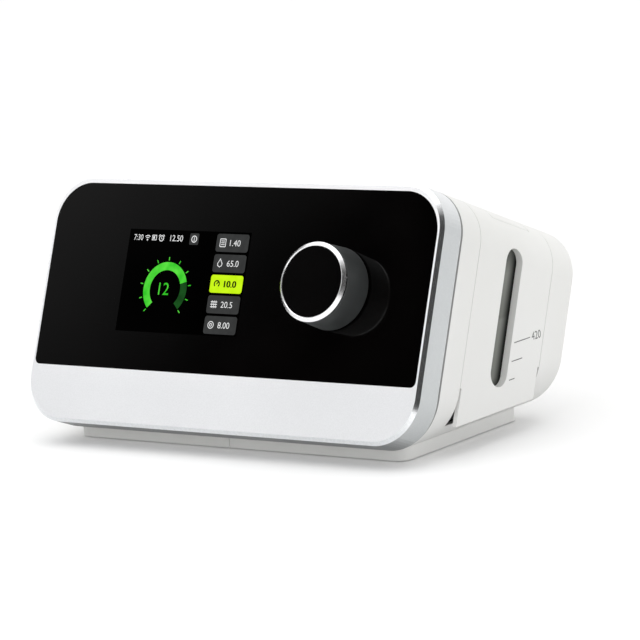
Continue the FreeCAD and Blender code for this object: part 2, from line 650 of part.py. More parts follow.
def make_main_housing():
    shell = case_block(0).cut(case_block(CASE_WALL).fuse(front_mouth()))
    roof_inner = FACE_HEIGHT - CASE_WALL
    collar = upright_rod(BUTTON_RADIUS + GAP + COLLAR_WALL, (BUTTON_BOARD_TOP, roof_inner),
                         BUTTON_X, BUTTON_DEPTH)
    rear_wall = (CASE_INNER_REAR - OVERCUT, CASE_DEPTH + OVERCUT)
    pin_holes = lean(rod_x(COVER_PIN_RADIUS + SHAFT_PLAY, widened(FILTER_X, COVER_PIN_LENGTH), *COVER_PIVOT))
    holes = [
        upright_rod(BUTTON_RADIUS + GAP, widened((BUTTON_BOARD_TOP, FACE_HEIGHT), OVERCUT),
                    BUTTON_X, BUTTON_DEPTH),
        tank_opening(),
        pin_holes,
        lean(block(FILTER_X, rear_wall, FILTER_HEIGHTS)),
        lean(rod_y(OUTLET_RADIUS, rear_wall, OUTLET_X, PORT_HEIGHT)),
        lean(rod_y(INLET_RADIUS, rear_wall, INLET_X, INLET_HEIGHT)),
        card_slot(GAP, widened((-HALF_WIDTH, -HALF_WIDTH + CASE_WALL), OVERCUT)),
        block(BASE_HOLE_X, BASE_HOLE_Y, (0, CASE_FLOOR_Z + OVERCUT)),
    ]
    holes += [rod_z(BASE_SCREW_RADIUS, (0, CASE_FLOOR_Z + OVERCUT), x, y) for x, y in base_screw_places()]
    return without(shell.fuse(collar), holes)


def front_mouth():
    """Opens the case at its front, so that the inside starts at the seam."""
    return lean(outline_slab(CASE_WALL, widened((CASE_FRONT, CASE_FRONT), OVERCUT))).common(
        leaning_prism((-HALF_WIDTH, HALF_WIDTH), (0, CASE_DEPTH), CASE_FLOOR_Z, height=FACE_HEIGHT))


def make_base_pan():
    z_range = (CASE_FLOOR_Z, PAN_TOP_Z)
    pan = block(widened(BASE_HOLE_X, BASE_PAN_EDGE_X),
                widened(BASE_HOLE_Y, BASE_PAN_EDGE_Y), z_range)
    plug = block(widened(BASE_HOLE_X, -GAP), widened(BASE_HOLE_Y, -GAP),
                 (UNDERSIDE_Z, CASE_FLOOR_Z))
    tray = block(widened(BASE_HOLE_X, -GAP - PLINTH_WALL),
                 widened(BASE_HOLE_Y, -GAP - PLINTH_WALL), (UNDERSIDE_Z - OVERCUT, CASE_FLOOR_Z))
    bosses = [rod_z(BASE_BOSS_RADIUS, (PAN_TOP_Z, PAN_TOP_Z + BASE_BOSS_HEIGHT), x, y)
              for x, y in base_screw_places()]
    holes = [rod_z(BASE_SCREW_RADIUS, (0, PAN_TOP_Z + BASE_BOSS_HEIGHT - BASE_BOSS_CAP), x, y)
             for x, y in base_screw_places()]
    return without(joined([pan, plug.cut(tray)] + bosses), holes)


# ---- plinth

def foot_places():
    xs = widened((-PLINTH_HALF_WIDTH, PLINTH_HALF_WIDTH), -FOOT_INSET_X)
    return [(x, y) for x in xs for y in widened(PLINTH_Y, -FOOT_INSET_Y)]


def make_plinth(side):
    """One half of the plinth: a shallow tray with posts for the base screws and seats for two feet."""
    seam = PLINTH_SEAM_X + side * PLINTH_SEAM / 2
    edge = side * PLINTH_HALF_WIDTH
    x_range = (min(seam, edge), max(seam, edge))
    z_range = (FOOT_PROUD, UNDERSIDE_Z)
    body = block(x_range, PLINTH_Y, z_range)

    def is_outer_corner(line):
        ends = [vertex.Point for vertex in line.Vertexes]
        return all(abs(end.x - edge) < NEAR for end in ends) and abs(ends[0].y - ends[1].y) < NEAR

    body = body.makeFillet(PLINTH_RADIUS, [line for line in body.Edges if is_outer_corner(line)])
    hollow = block(widened(x_range, -PLINTH_WALL), widened(PLINTH_Y, -PLINTH_WALL),
                   (PLINTH_FLOOR_Z, UNDERSIDE_Z + OVERCUT))
    screws = [(x, y) for x, y in base_screw_places() if x_range[0] < x < x_range[1]]
    posts = [rod_z(BASE_BOSS_RADIUS, z_range, x, y) for x, y in screws]
    cuts = [rod_z(BASE_SCREW_RADIUS, (0, UNDERSIDE_Z + OVERCUT), x, y) for x, y in screws]
    cuts += [rod_z(SCREW_HEAD_RADIUS + GAP, (0, PLINTH_FLOOR_Z), x, y) for x, y in screws]
    cuts += [rod_z(FOOT_RADIUS, (0, FOOT_THICK), x, y) for x, y in foot_places()]
    return without(joined([body.cut(hollow)] + posts), cuts)


def make_rubber_feet():
    return Part.makeCompound([rod_z(FOOT_RADIUS, (0, FOOT_THICK), x, y) for x, y in foot_places()])


def screw_z(shank, head, seat_z, tip_z, x, y):
    """Screw that goes up from its seat, with its head below."""
    return rod_z(head, (seat_z - SCREW_HEAD_HEIGHT, seat_z), x, y).fuse(rod_z(shank, (seat_z, tip_z), x, y))


def make_base_screws():
    return Part.makeCompound([
        screw_z(BASE_SCREW_RADIUS - SHAFT_PLAY, SCREW_HEAD_RADIUS, PLINTH_FLOOR_Z, BASE_SCREW_TIP_Z, x, y)
        for x, y in base_screw_places()])


# ---- front

def bezel_tongue():
    """Tongue round the bezel that enters the case, trimmed to the inside of the case."""
    reach = (BEZEL_FRONT_WALL, LIP_DEPTH)
    inset = CASE_WALL + LIP_PLAY
    tongue = outline_slab(inset, reach).cut(outline_slab(inset + LIP_THICK, reach))
    in_bezel = tongue.common(block((-CASE_WIDTH, CASE_WIDTH), (0, CASE_FRONT), (0, FACE_HEIGHT)))
    return joined([lean(in_bezel), lean(tongue).common(case_block(inset))])


def make_front_bezel():
    """Silver ring and lower band, one moulding: front wall, side wall, window seat and tongue."""
    solid = outline_slab(0, (0, BEZEL_DEPTH))
    rim = [edge for edge in solid.Edges if all(abs(vertex.Y) < NEAR for vertex in edge.Vertexes)]
    solid = solid.makeChamfer(BEZEL_CHAMFER, rim)
    hollow = outline_slab(BEZEL_SIDE_WALL, (BEZEL_FRONT_WALL, BEZEL_DEPTH + OVERCUT))
    bridge_depths = (BEZEL_FRONT_WALL, BEZEL_DEPTH - BRIDGE_SET_BACK)
    bridge = outline_slab(BEZEL_SIDE_WALL, bridge_depths).cut(
        outline_slab(CASE_WALL + LIP_THICK, bridge_depths))
    bosses = [rod_y(SCREW_RADIUS + BOSS_WALL, (BEZEL_FRONT_WALL, DISPLAY_BACK), x, FRAME_SCREW_HEIGHT)
              for x in FRAME_SCREW_XS]
    body = joined([solid.cut(hollow), bridge] + bosses)
    cuts = [window_slab(0, (-OVERCUT, WINDOW_BACK)),
            window_slab(WINDOW_LEDGE, widened((0, BEZEL_FRONT_WALL), OVERCUT))]
    screw_range = (BEZEL_FRONT_WALL - SCREW_BITE, DISPLAY_BACK + OVERCUT)
    cuts += [rod_y(SCREW_RADIUS, screw_range, x, FRAME_SCREW_HEIGHT) for x in FRAME_SCREW_XS]
    return joined([lean(without(body, cuts)), bezel_tongue()])


def make_front_window():
    pane = window_slab(0, (WINDOW_SINK, WINDOW_BACK))
    cuts = [screen_aperture((WINDOW_SINK, WINDOW_BACK)),
            rod_y(BUSHING_RADIUS, widened((WINDOW_SINK, WINDOW_BACK), OVERCUT), *KNOB_AXIS)]
    return lean(without(pane, cuts))


def screen_aperture(y_range):
    return block(centred(SCREEN_X, SCREEN_WIDTH + 2 * SCREEN_BORDER), y_range,
                 centred(CONTROL_HEIGHT, SCREEN_HEIGHT + 2 * SCREEN_BORDER))


def make_display_module():
    glass = screen_aperture((WINDOW_SINK, WINDOW_BACK))
    case = block(centred(SCREEN_X, DISPLAY_WIDTH), (WINDOW_BACK, DISPLAY_BACK),
                 centred(CONTROL_HEIGHT, DISPLAY_HEIGHT))
    return lean(glass.fuse(case))


def make_front_gasket():
    """Dark ring in the joint between bezel and case."""
    y_range = (BEZEL_DEPTH, CASE_FRONT)
    ring = outline_slab(SEAM_SINK, y_range).cut(outline_slab(BEZEL_SIDE_WALL, y_range))
    return lean(ring).common(room_above(UNDERSIDE_Z + SEAM_SINK))


def standoff_places():
    return [(x, z) for x in STANDOFF_XS for z in STANDOFF_HEIGHTS]


def make_front_frame():
    """Plate that holds the display and the encoder against the window and carries the main board."""
    plate = window_slab(WINDOW_LEDGE / 2, (DISPLAY_BACK, FRAME_BACK))
    rim = window_slab(WINDOW_LEDGE / 2, (BEZEL_FRONT_WALL, DISPLAY_BACK)).cut(
        window_slab(WINDOW_LEDGE / 2 + FRAME_RIM_WALL, (BEZEL_FRONT_WALL, DISPLAY_BACK)))
    ears = [block(centred(x, FRAME_EAR_WIDTH), (DISPLAY_BACK, FRAME_BACK),
                  (FRAME_SCREW_HEIGHT - FRAME_EAR_END, BAND_HEIGHT + WINDOW_LEDGE)) for x in FRAME_SCREW_XS]
    posts = [rod_y(STANDOFF_RADIUS, (FRAME_BACK, BOARD_DEPTH), x, z) for x, z in standoff_places()]
    through = widened((DISPLAY_BACK, FRAME_BACK), OVERCUT)
    cuts = [block(centred(SCREEN_X, DISPLAY_WIDTH - 2 * FRAME_LEDGE), through,
                  centred(CONTROL_HEIGHT, DISPLAY_HEIGHT - 2 * FRAME_LEDGE)),
            block(centred(KNOB_X, ENCODER_SIZE), through, centred(CONTROL_HEIGHT, ENCODER_SIZE))]
    cuts += [rod_y(SCREW_RADIUS, through, x, FRAME_SCREW_HEIGHT) for x in FRAME_SCREW_XS]
    screw_range = (BOARD_DEPTH - BOARD_SCREW_LENGTH - SCREW_RELIEF, BOARD_DEPTH + OVERCUT)
    cuts += [rod_y(SCREW_RADIUS, screw_range, x, z) for x, z in standoff_places()]
    return lean(without(joined([plate, rim] + ears + posts), cuts))


def screw_y(seat, tip, x, z):
    """Screw that enters towards the face from its seat, with its head behind."""
    shank = rod_y(SCREW_RADIUS - SHAFT_PLAY, (tip, seat), x, z)
    return shank.fuse(rod_y(SCREW_HEAD_RADIUS, (seat, seat + SCREW_HEAD_HEIGHT), x, z))


def make_frame_screws():
    tip = BEZEL_FRONT_WALL - SCREW_BITE + SCREW_RELIEF
    screws = [screw_y(FRAME_BACK, tip, x, FRAME_SCREW_HEIGHT) for x in FRAME_SCREW_XS]
    return lean(Part.makeCompound(screws))


# ---- electronics

def make_main_board():
    board = block(BOARD_X, (BOARD_DEPTH, BOARD_BACK), BOARD_HEIGHTS)
    through = widened((BOARD_DEPTH, BOARD_BACK), OVERCUT)
    holes = [rod_y(SCREW_RADIUS, through, x, z) for x, z in standoff_places()]
    return lean(without(board, holes))


def make_main_board_parts():
    """Processor, radio, two driver chips and the blower and display connectors."""
    x, z = SCREEN_X, CONTROL_HEIGHT
    chips = [(x, z, PROCESSOR_SIZE, PROCESSOR_SIZE), (x + CHIP_PITCH, z + CHIP_PITCH / 2, *RADIO_SIZE),
             (x + 2 * CHIP_PITCH, z - CHIP_PITCH, DRIVER_SIZE, DRIVER_SIZE),
             (x, z - CHIP_PITCH, DRIVER_SIZE, DRIVER_SIZE),
             (x + 3 * CHIP_PITCH, z, *CONNECTOR_SIZE), (x - CHIP_PITCH, z + CHIP_PITCH / 2, *CONNECTOR_SIZE)]
    depths = (BOARD_BACK, BOARD_BACK + CHIP_THICK)
    return lean(Part.makeCompound([block(centred(x, width), depths, centred(z, tall))
                                   for x, z, width, tall in chips]))


def make_board_screws():
    tip = BOARD_DEPTH - BOARD_SCREW_LENGTH
    return lean(Part.makeCompound([screw_y(BOARD_BACK, tip, x, z) for x, z in standoff_places()]))


def make_sd_socket():
    """Thin metal cage on the main board, open at the case side."""
    card_end = CARD_X + CARD_LENGTH + GAP
    cage = block((CARD_X + SOCKET_MOUTH, card_end + 2 * SOCKET_WALL),
                 (BOARD_BACK, CARD_DEPTHS[1] + GAP + SOCKET_ROOF),
                 widened(centred(CARD_HEIGHT, CARD_WIDTH), GAP + SOCKET_WALL))
    return lean(cage).cut(card_slot(GAP, (CARD_X, card_end)))


def make_sd_card():
    heights = centred(CARD_HEIGHT, CARD_WIDTH)
    end = CARD_X + CARD_LENGTH
    front = CARD_DEPTHS[0]
    outline = [V(CARD_X, front, heights[0]), V(end, front, heights[0]),
               V(end, front, heights[1] - CARD_CORNER), V(end - CARD_CORNER, front, heights[1]),
               V(CARD_X, front, heights[1])]
    return lean(Part.Face(Part.makePolygon(outline + outline[:1])).extrude(Y_AXIS * CARD_THICK))


def make_power_button():
    heights = (FACE_HEIGHT + BUTTON_PROUD - BUTTON_LENGTH, FACE_HEIGHT + BUTTON_PROUD)
    body = rod_z(BUTTON_RADIUS, heights, BUTTON_X, BUTTON_DEPTH)
    rim = [edge for edge in body.Edges if all(abs(vertex.Z - heights[1]) < NEAR for vertex in edge.Vertexes)]
    return lean(body.makeFillet(BUTTON_EDGE_RADIUS, rim))


def make_button_board():
    return lean(block(centred(BUTTON_X, BUTTON_BOARD_SIZE), centred(BUTTON_DEPTH, BUTTON_BOARD_SIZE),
                      (BUTTON_BOARD_TOP - BOARD_THICK, BUTTON_BOARD_TOP)))


def make_button_switch():
    return lean(block(centred(BUTTON_X, SWITCH_SIZE), centred(BUTTON_DEPTH, SWITCH_SIZE),
                      (BUTTON_BOARD_TOP, BUTTON_BOARD_TOP + SWITCH_HEIGHT)))


def make_power_board():
    depths = (POWER_BOARD_DEPTH, POWER_BOARD_DEPTH + BOARD_THICK)
    return lean(block(POWER_BOARD_X, depths, POWER_BOARD_HEIGHTS))


def make_power_board_parts():
    """Two electrolytic capacitors, a choke and a regulator."""
    seat = POWER_BOARD_DEPTH + BOARD_THICK
    x, z = INLET_X + 2 * CAPACITOR_PITCH, sum(POWER_BOARD_HEIGHTS) / 2
    parts = [rod_y(CAPACITOR_RADIUS, (seat, seat + CAPACITOR_LENGTH), place, z - CAPACITOR_PITCH / 2)
             for place in (x, x + CAPACITOR_PITCH)]
    parts += [block(centred(place, size), (seat, seat + proud), centred(z + CAPACITOR_PITCH, size))
              for place, size, proud in ((x - CAPACITOR_PITCH / 2, REGULATOR_SIZE, REGULATOR_PROUD),
                                         (x + 2 * CAPACITOR_PITCH, CHOKE_SIZE, CHOKE_PROUD))]
    return lean(Part.makeCompound(parts))


def make_dc_inlet():
    seat = POWER_BOARD_DEPTH + BOARD_THICK
    barrel = rod_y(INLET_RADIUS, (CASE_INNER_REAR, CASE_DEPTH), INLET_X, INLET_HEIGHT)
    size = 2 * (INLET_RADIUS + INLET_FLANGE)
    body = block(centred(INLET_X, size), (seat, CASE_INNER_REAR), centred(INLET_HEIGHT, size))
    bore = rod_y(INLET_BORE, (CASE_DEPTH - INLET_BORE_DEPTH, CASE_DEPTH + OVERCUT), INLET_X, INLET_HEIGHT)
    return lean(joined([barrel, body]).cut(bore))


def make_dc_pin():
    return lean(rod_y(INLET_PIN_RADIUS, (CASE_DEPTH - INLET_BORE_DEPTH, CASE_DEPTH - INLET_PIN_SINK),
                      INLET_X, INLET_HEIGHT))


def make_speaker():
    return rod_z(SPEAKER_RADIUS, (PAN_TOP_Z, PAN_TOP_Z + SPEAKER_HEIGHT), *SPEAKER_CENTRE)


# ---- knob

def make_encoder_body():
    back = WINDOW_BACK + ENCODER_DEPTH
    body = block(centred(KNOB_X, ENCODER_SIZE), (WINDOW_BACK, back), centred(CONTROL_HEIGHT, ENCODER_SIZE))
    bushing = rod_y(BUSHING_RADIUS, (-BUSHING_PROUD, WINDOW_BACK), *KNOB_AXIS)
    bore = rod_y(SHAFT_RADIUS + SHAFT_PLAY, (-BUSHING_PROUD - OVERCUT, back - ENCODER_END), *KNOB_AXIS)
    return lean(joined([body, bushing]).cut(bore))


def make_encoder_nut():
    depths = (WINDOW_SINK - NUT_THICK, WINDOW_SINK)
    centre = V(KNOB_X, depths[0], CONTROL_HEIGHT)
    corners = [centre + polar_xz(NUT_CORNER_RADIUS, turn) for turn in range(0, 361, 60)]
    nut = Part.Face(Part.makePolygon(corners)).extrude(Y_AXIS * NUT_THICK)
    return lean(nut.cut(rod_y(BUSHING_RADIUS, widened(depths, OVERCUT), *KNOB_AXIS)))


def shaft_back():
    return WINDOW_BACK + ENCODER_DEPTH - ENCODER_END - KNOB_PUSH - GAP - PLUNGER_THICK


def make_encoder_plunger():
    """Contact disc that the shaft pushes when the knob is pressed."""
    return lean(rod_y(SHAFT_RADIUS, (shaft_back(), shaft_back() + PLUNGER_THICK), *KNOB_AXIS))


def make_encoder_shaft():
    return lean(rod_y(SHAFT_RADIUS, (-KNOB_FRONT + RING_DEPTH + KNOB_WALL, shaft_back()), *KNOB_AXIS))


def make_knob_barrel():
    """Hollow, slightly tapered grip with a hub on the encoder shaft."""
    front, back = -KNOB_FRONT + RING_DEPTH, -KNOB_BASE_GAP + WINDOW_SINK
    web = front + KNOB_WALL
    hub_end = -BUSHING_PROUD - KNOB_HUB_GAP
    hub_radius = SHAFT_RADIUS + KNOB_HUB_WALL
    bevel_in, bevel_up = KNOB_SKIRT_BEVEL
    profile = [(0, front), (KNOB_FRONT_RADIUS, front), (KNOB_BASE_RADIUS, back - bevel_up),
               (KNOB_BASE_RADIUS - bevel_in, back), (KNOB_BASE_RADIUS - KNOB_WALL, back),
               (KNOB_FRONT_RADIUS - KNOB_WALL, web), (hub_radius, web), (hub_radius, hub_end),
               (SHAFT_RADIUS, hub_end), (SHAFT_RADIUS, web), (0, web)]
    return lean(turned_y(profile, *KNOB_AXIS))


def make_knob_ring():
    front, back = -KNOB_FRONT, -KNOB_FRONT + RING_DEPTH
    outer = KNOB_FRONT_RADIUS - RING_STEP
    bevel_in, bevel_back = RING_BEVEL
    profile = [(RING_INNER_RADIUS, front + RING_INNER_EDGE), (RING_INNER_RADIUS + RING_INNER_EDGE, front),
               (outer - bevel_in, front), (outer, front + bevel_back), (outer, back),
               (RING_INNER_RADIUS, back)]
    return lean(turned_y(profile, *KNOB_AXIS))


def make_knob_cap():
    return lean(rod_y(RING_INNER_RADIUS, (-KNOB_FRONT + CAP_SINK, -KNOB_FRONT + RING_DEPTH), *KNOB_AXIS))


# ---- blower

def spiral_face(extra, z):
    """Volute outline of four quarter arcs about the corners of a small square, each larger than the last."""
    cx, cy = BLOWER_CENTRE
    half = VOLUTE_GROWTH / 2
    centres = ((half, half), (-half, half), (-half, -half), (half, -half))
    edges = []
    for quarter, (dx, dy) in enumerate(centres):
        radius = VOLUTE_START_RADIUS + quarter * VOLUTE_GROWTH + extra
        start = 90 * quarter - 90
        edges.append(Part.Arc(*[V(cx + dx, cy + dy, z) + polar_xy(radius, start + turn)
                                for turn in QUARTER]).toShape())
    first = V(cx + half, cy + half - VOLUTE_START_RADIUS - extra, z)
    last = V(cx + half, cy - half - VOLUTE_END_RADIUS - extra, z)
    edges.append(Part.LineSegment(last, first).toShape())
    return Part.Face(Part.Wire(edges))


def outlet_ys():
    """Front and rear wall of the volute's outlet channel."""
    cy = BLOWER_CENTRE[1]
    half = VOLUTE_GROWTH / 2
    return (cy - half - VOLUTE_END_RADIUS, cy + half - VOLUTE_START_RADIUS - VOLUTE_TONGUE)


def outlet_centre():
    return (sum(outlet_ys()) / 2, (VOLUTE_FLOOR_Z + VOLUTE_TOP_Z) / 2)


def volute_outline(z_range):
    """Solid over the spiral and its outlet block."""
    spiral = spiral_face(VOLUTE_WALL, z_range[0]).extrude(V(0, 0, z_range[1] - z_range[0]))
    start_x = BLOWER_CENTRE[0] + VOLUTE_GROWTH / 2
    return spiral.fuse(block((start_x, OUTLET_BLOCK_END_X), widened(outlet_ys(), VOLUTE_WALL), z_range))


def make_volute_base():
    cx, cy = BLOWER_CENTRE
    floor_z, cover_z = VOLUTE_FLOOR_Z + VOLUTE_WALL, VOLUTE_TOP_Z - VOLUTE_WALL
    outer = volute_outline((VOLUTE_FLOOR_Z, cover_z))
    stub_x = (OUTLET_BLOCK_END_X, OUTLET_BLOCK_END_X + STUB_LENGTH)
    stub = rod_x(STUB_RADIUS, stub_x, *outlet_centre())
    channel_end = OUTLET_BLOCK_END_X - VOLUTE_WALL
    cavity = spiral_face(0, floor_z).extrude(V(0, 0, VOLUTE_TOP_Z - floor_z))
    channel = block((cx, channel_end), outlet_ys(), (floor_z, VOLUTE_TOP_Z))
    bore = rod_x(BLOWER_BORE, widened((channel_end, stub_x[1]), OVERCUT), *outlet_centre())
    shaft_hole = rod_z(VOLUTE_SHAFT_HOLE, widened((VOLUTE_FLOOR_Z, floor_z), OVERCUT), cx, cy)
    return without(outer.fuse(stub), [cavity, channel, bore, shaft_hole])


def make_volute_cover():
    cx, cy = BLOWER_CENTRE
    outline = volute_outline((VOLUTE_TOP_Z - VOLUTE_WALL, VOLUTE_TOP_Z))
    collar = rod_z(COLLAR_RADIUS + VOLUTE_WALL, (VOLUTE_TOP_Z - VOLUTE_WALL, COLLAR_TOP_Z), cx, cy)
    return outline.fuse(collar).cut(rod_z(COLLAR_RADIUS, (0, COLLAR_TOP_Z + OVERCUT), cx, cy))


def make_blower_motor():
    cx, cy = BLOWER_CENTRE
    can = rod_z(MOTOR_RADIUS, (VOLUTE_FLOOR_Z - MOTOR_HEIGHT, VOLUTE_FLOOR_Z), cx, cy)
    return can.cut(rod_z(MOTOR_SHAFT_RADIUS + SHAFT_PLAY, (MOTOR_END_Z, VOLUTE_FLOOR_Z + OVERCUT), cx, cy))


def make_motor_shaft():
    return rod_z(MOTOR_SHAFT_RADIUS, (MOTOR_END_Z + MOTOR_SHAFT_END_PLAY, IMPELLER_FLOOR_Z + IMPELLER_HEIGHT),
                 *BLOWER_CENTRE)


def make_impeller():
    """Back plate, hub and backward-curved blades."""
    cx, cy = BLOWER_CENTRE
    z = IMPELLER_FLOOR_Z
    plate = rod_z(IMPELLER_RADIUS, (z, z + BLADE_THICK), cx, cy)
    hub = rod_z(IMPELLER_HUB_RADIUS, (z, z + IMPELLER_HEIGHT), cx, cy)
    blades = [make_blade(360.0 * number / IMPELLER_BLADES, z + BLADE_THICK)
              for number in range(IMPELLER_BLADES)]
    wheel = joined([plate, hub] + blades)
    return wheel.cut(rod_z(MOTOR_SHAFT_RADIUS, (0, VOLUTE_TOP_Z), cx, cy))


def make_blade(start_turn, z):
    """One blade: an arc that leans back from the eye to the rim, as a band of even thickness."""
    centre = V(*BLOWER_CENTRE, z)

    def arc_points(offset):
        points = []
        for share in (0.0, 0.5, 1.0):
            radius = IMPELLER_EYE_RADIUS + (IMPELLER_RADIUS - IMPELLER_EYE_RADIUS) * share
            turn = start_turn - BLADE_SWEEP * share + math.degrees(offset / radius)
            points.append(centre + polar_xy(radius, turn))
        return points

    leading, trailing = arc_points(BLADE_THICK / 2), arc_points(-BLADE_THICK / 2)
    wire = Part.Wire([Part.Arc(*leading).toShape(), Part.LineSegment(leading[2], trailing[2]).toShape(),
                      Part.Arc(*reversed(trailing)).toShape(),
                      Part.LineSegment(trailing[0], leading[0]).toShape()])
    return Part.Face(wire).extrude(Z_AXIS * (IMPELLER_HEIGHT - BLADE_THICK))


def make_blower_mounts():
    """Three soft posts that keep the blower's hum out of the case."""
    waist_z = centred((PAN_TOP_Z + VOLUTE_FLOOR_Z) / 2, MOUNT_WAIST_HEIGHT)
    posts = []
    for turn in MOUNT_TURNS:
        place = V(*BLOWER_CENTRE, 0) + polar_xy(MOUNT_CIRCLE, turn)
        waist = rod_z(MOUNT_RADIUS, waist_z, place.x, place.y).cut(
            rod_z(MOUNT_WAIST_RADIUS, waist_z, place.x, place.y))
        posts.append(rod_z(MOUNT_RADIUS, (PAN_TOP_Z, VOLUTE_FLOOR_Z), place.x, place.y).cut(waist))
    return Part.makeCompound(posts)


def make_inlet_bellows():
    cx, cy = BLOWER_CENTRE
    z_range = (COLLAR_TOP_Z, MUFFLER_Z[0])
    return rod_z(COLLAR_RADIUS + VOLUTE_WALL, z_range, cx, cy).cut(rod_z(COLLAR_RADIUS, z_range, cx, cy))


# ---- intake

def muffler_prism(inset, x_range):
    z0, z1 = MUFFLER_Z[0] + inset, MUFFLER_Z[1] - inset
    front, rear = MUFFLER_FRONT_Y + inset, FILTER_FRAME_DEPTH - inset
    return prism_x([(front, z0), (y_at(rear, z0), z0), (y_at(rear, z1), z1), (front, z1)], x_range)


def intake_window(depths):
    """Passage between the filter frame and the muffler, as high as both allow."""
    filter_side = lean(block(widened(FILTER_X, -INTAKE_MARGIN), depths,
                             widened(FILTER_HEIGHTS, -INTAKE_MARGIN)))
    muffler_z = widened(MUFFLER_Z, -MUFFLER_WALL - INTAKE_LIP)
    return filter_side.common(block(FILTER_X, (0, 2 * CASE_DEPTH), muffler_z))


def make_intake_muffler():
    cx, cy = BLOWER_CENTRE
    outer = muffler_prism(0, MUFFLER_X)
    inner = muffler_prism(MUFFLER_WALL, widened(MUFFLER_X, -MUFFLER_WALL))
    eye = rod_z(COLLAR_RADIUS, (0, MUFFLER_Z[0] + MUFFLER_WALL + OVERCUT), cx, cy)
    passage = intake_window(widened((FILTER_FRAME_DEPTH - FOAM_THICK, FILTER_FRAME_DEPTH), OVERCUT))
    return without(outer, [inner, eye, passage])


def make_muffler_foam():
    """Foam lining on the muffler's sides."""
    inner_x = widened(MUFFLER_X, -MUFFLER_WALL)
    lining = muffler_prism(MUFFLER_WALL, inner_x)
    rear_room = FILTER_FRAME_DEPTH - MUFFLER_WALL
    core = prism_x([(MUFFLER_FRONT_Y + MUFFLER_WALL + FOAM_THICK, MUFFLER_Z[0]),
                    (y_at(rear_room, MUFFLER_Z[0]) + FOAM_THICK, MUFFLER_Z[0]),
                    (y_at(rear_room, MUFFLER_Z[1]) + FOAM_THICK, MUFFLER_Z[1]),
                    (MUFFLER_FRONT_Y + MUFFLER_WALL + FOAM_THICK, MUFFLER_Z[1])],
                   widened(inner_x, -FOAM_THICK))
    return lining.cut(core)


def make_filter_frame():
    """Open box behind the filter opening, with a back wall that lets the air up to the muffler."""
    depths = (FILTER_FRAME_DEPTH, CASE_INNER_REAR)
    outer = block(widened(FILTER_X, FILTER_FRAME_WALL), depths, widened(FILTER_HEIGHTS, FILTER_FRAME_WALL))
    inner = block(FILTER_X, (FILTER_FRAME_DEPTH + FILTER_BACK, CASE_DEPTH), FILTER_HEIGHTS)
    back_wall = (FILTER_FRAME_DEPTH, FILTER_FRAME_DEPTH + FILTER_BACK)
    return lean(outer.cut(inner)).cut(intake_window(widened(back_wall, OVERCUT)))


def make_air_filter():
    """Pleated filter pad."""
    low, high = widened(FILTER_HEIGHTS, -GAP)
    left, right = widened(FILTER_X, -GAP)
    back = FILTER_FRAME_DEPTH + FILTER_BACK
    pleats = int((right - left) / FILTER_PLEAT)
    half = (right - left) / pleats / 2
    outline = [V(left, back, low)]
    for number in range(pleats):
        x = left + 2 * half * number
        outline += [V(x, back + FILTER_THICK / 2, low), V(x + half, back + FILTER_THICK, low)]
    outline += [V(right, back + FILTER_THICK / 2, low), V(right, back, low)]
    return lean(Part.Face(Part.makePolygon(outline + outline[:1])).extrude(Z_AXIS * (high - low)))


def make_filter_cover():
    """Louvred cover that swings down on two pins at its lower edge."""
    depth, height = COVER_PIVOT
    x_range = widened(FILTER_X, -GAP)
    plate = block(x_range, (CASE_DEPTH - COVER_THICK, CASE_DEPTH), (height, FILTER_HEIGHTS[1] - GAP))
    knuckle = rod_x(COVER_THICK / 2, x_range, depth, height)
    pins = rod_x(COVER_PIN_RADIUS, widened(FILTER_X, COVER_PIN_LENGTH - GAP), depth, height)
    through = widened((CASE_DEPTH - COVER_THICK, CASE_DEPTH), OVERCUT)
    first_low = FILTER_HEIGHTS[0] + COVER_FOOT
    pitch = (FILTER_HEIGHTS[1] - COVER_HEAD - first_low) / COVER_SLOTS
    slots = [rounded_slab(widened(FILTER_X, -COVER_SLOT_MARGIN), through,
                          (first_low + pitch * number, first_low + pitch * number + COVER_SLOT_WIDTH),
                          [COVER_SLOT_WIDTH / 2] * 4) for number in range(COVER_SLOTS)]
    notch = rod_x(NOTCH_RADIUS, centred(sum(FILTER_X) / 2, NOTCH_LENGTH),
                  CASE_DEPTH + NOTCH_OFFSET, FILTER_HEIGHTS[1])
    return lean(without(joined([plate, knuckle, pins]), slots + [notch]))


# ---- ducts

def port_point(number, x):
    return level_point(x, PORT_DEPTHS[number], PORT_HEIGHT)


def make_blower_duct():
    """From the volute up to the tank's inlet port."""
    start_y, start_z = outlet_centre()
    port = port_point(0, BAY_END_X)
    points = [V(OUTLET_BLOCK_END_X + STUB_LENGTH, start_y, start_z), V(OUTLET_X, start_y, start_z),
              V(OUTLET_X, port.y, port.z), port]
    return swept_tube(points, BLOWER_DUCT_BEND, DUCT_RADIUS, BLOWER_BORE)


def make_outlet_duct():
    """From the tank's outlet port round to the rear."""
    points = [V(BAY_END_X, PORT_DEPTHS[1], PORT_HEIGHT), V(OUTLET_X, PORT_DEPTHS[1], PORT_HEIGHT),
              V(OUTLET_X, OUTLET_INNER_DEPTH, PORT_HEIGHT)]
    return lean(swept_tube(points, DUCT_BEND, DUCT_RADIUS, DUCT_BORE))


def make_flow_sensor():
    box = block(centred(OUTLET_X, SENSOR_WIDTH), centred(OUTLET_INNER_DEPTH - SENSOR_GAP, SENSOR_LENGTH),
                (PORT_HEIGHT, PORT_HEIGHT + DUCT_RADIUS + SENSOR_HEIGHT))
    return lean(box.cut(rod_y(DUCT_RADIUS, (0, CASE_DEPTH), OUTLET_X, PORT_HEIGHT)))


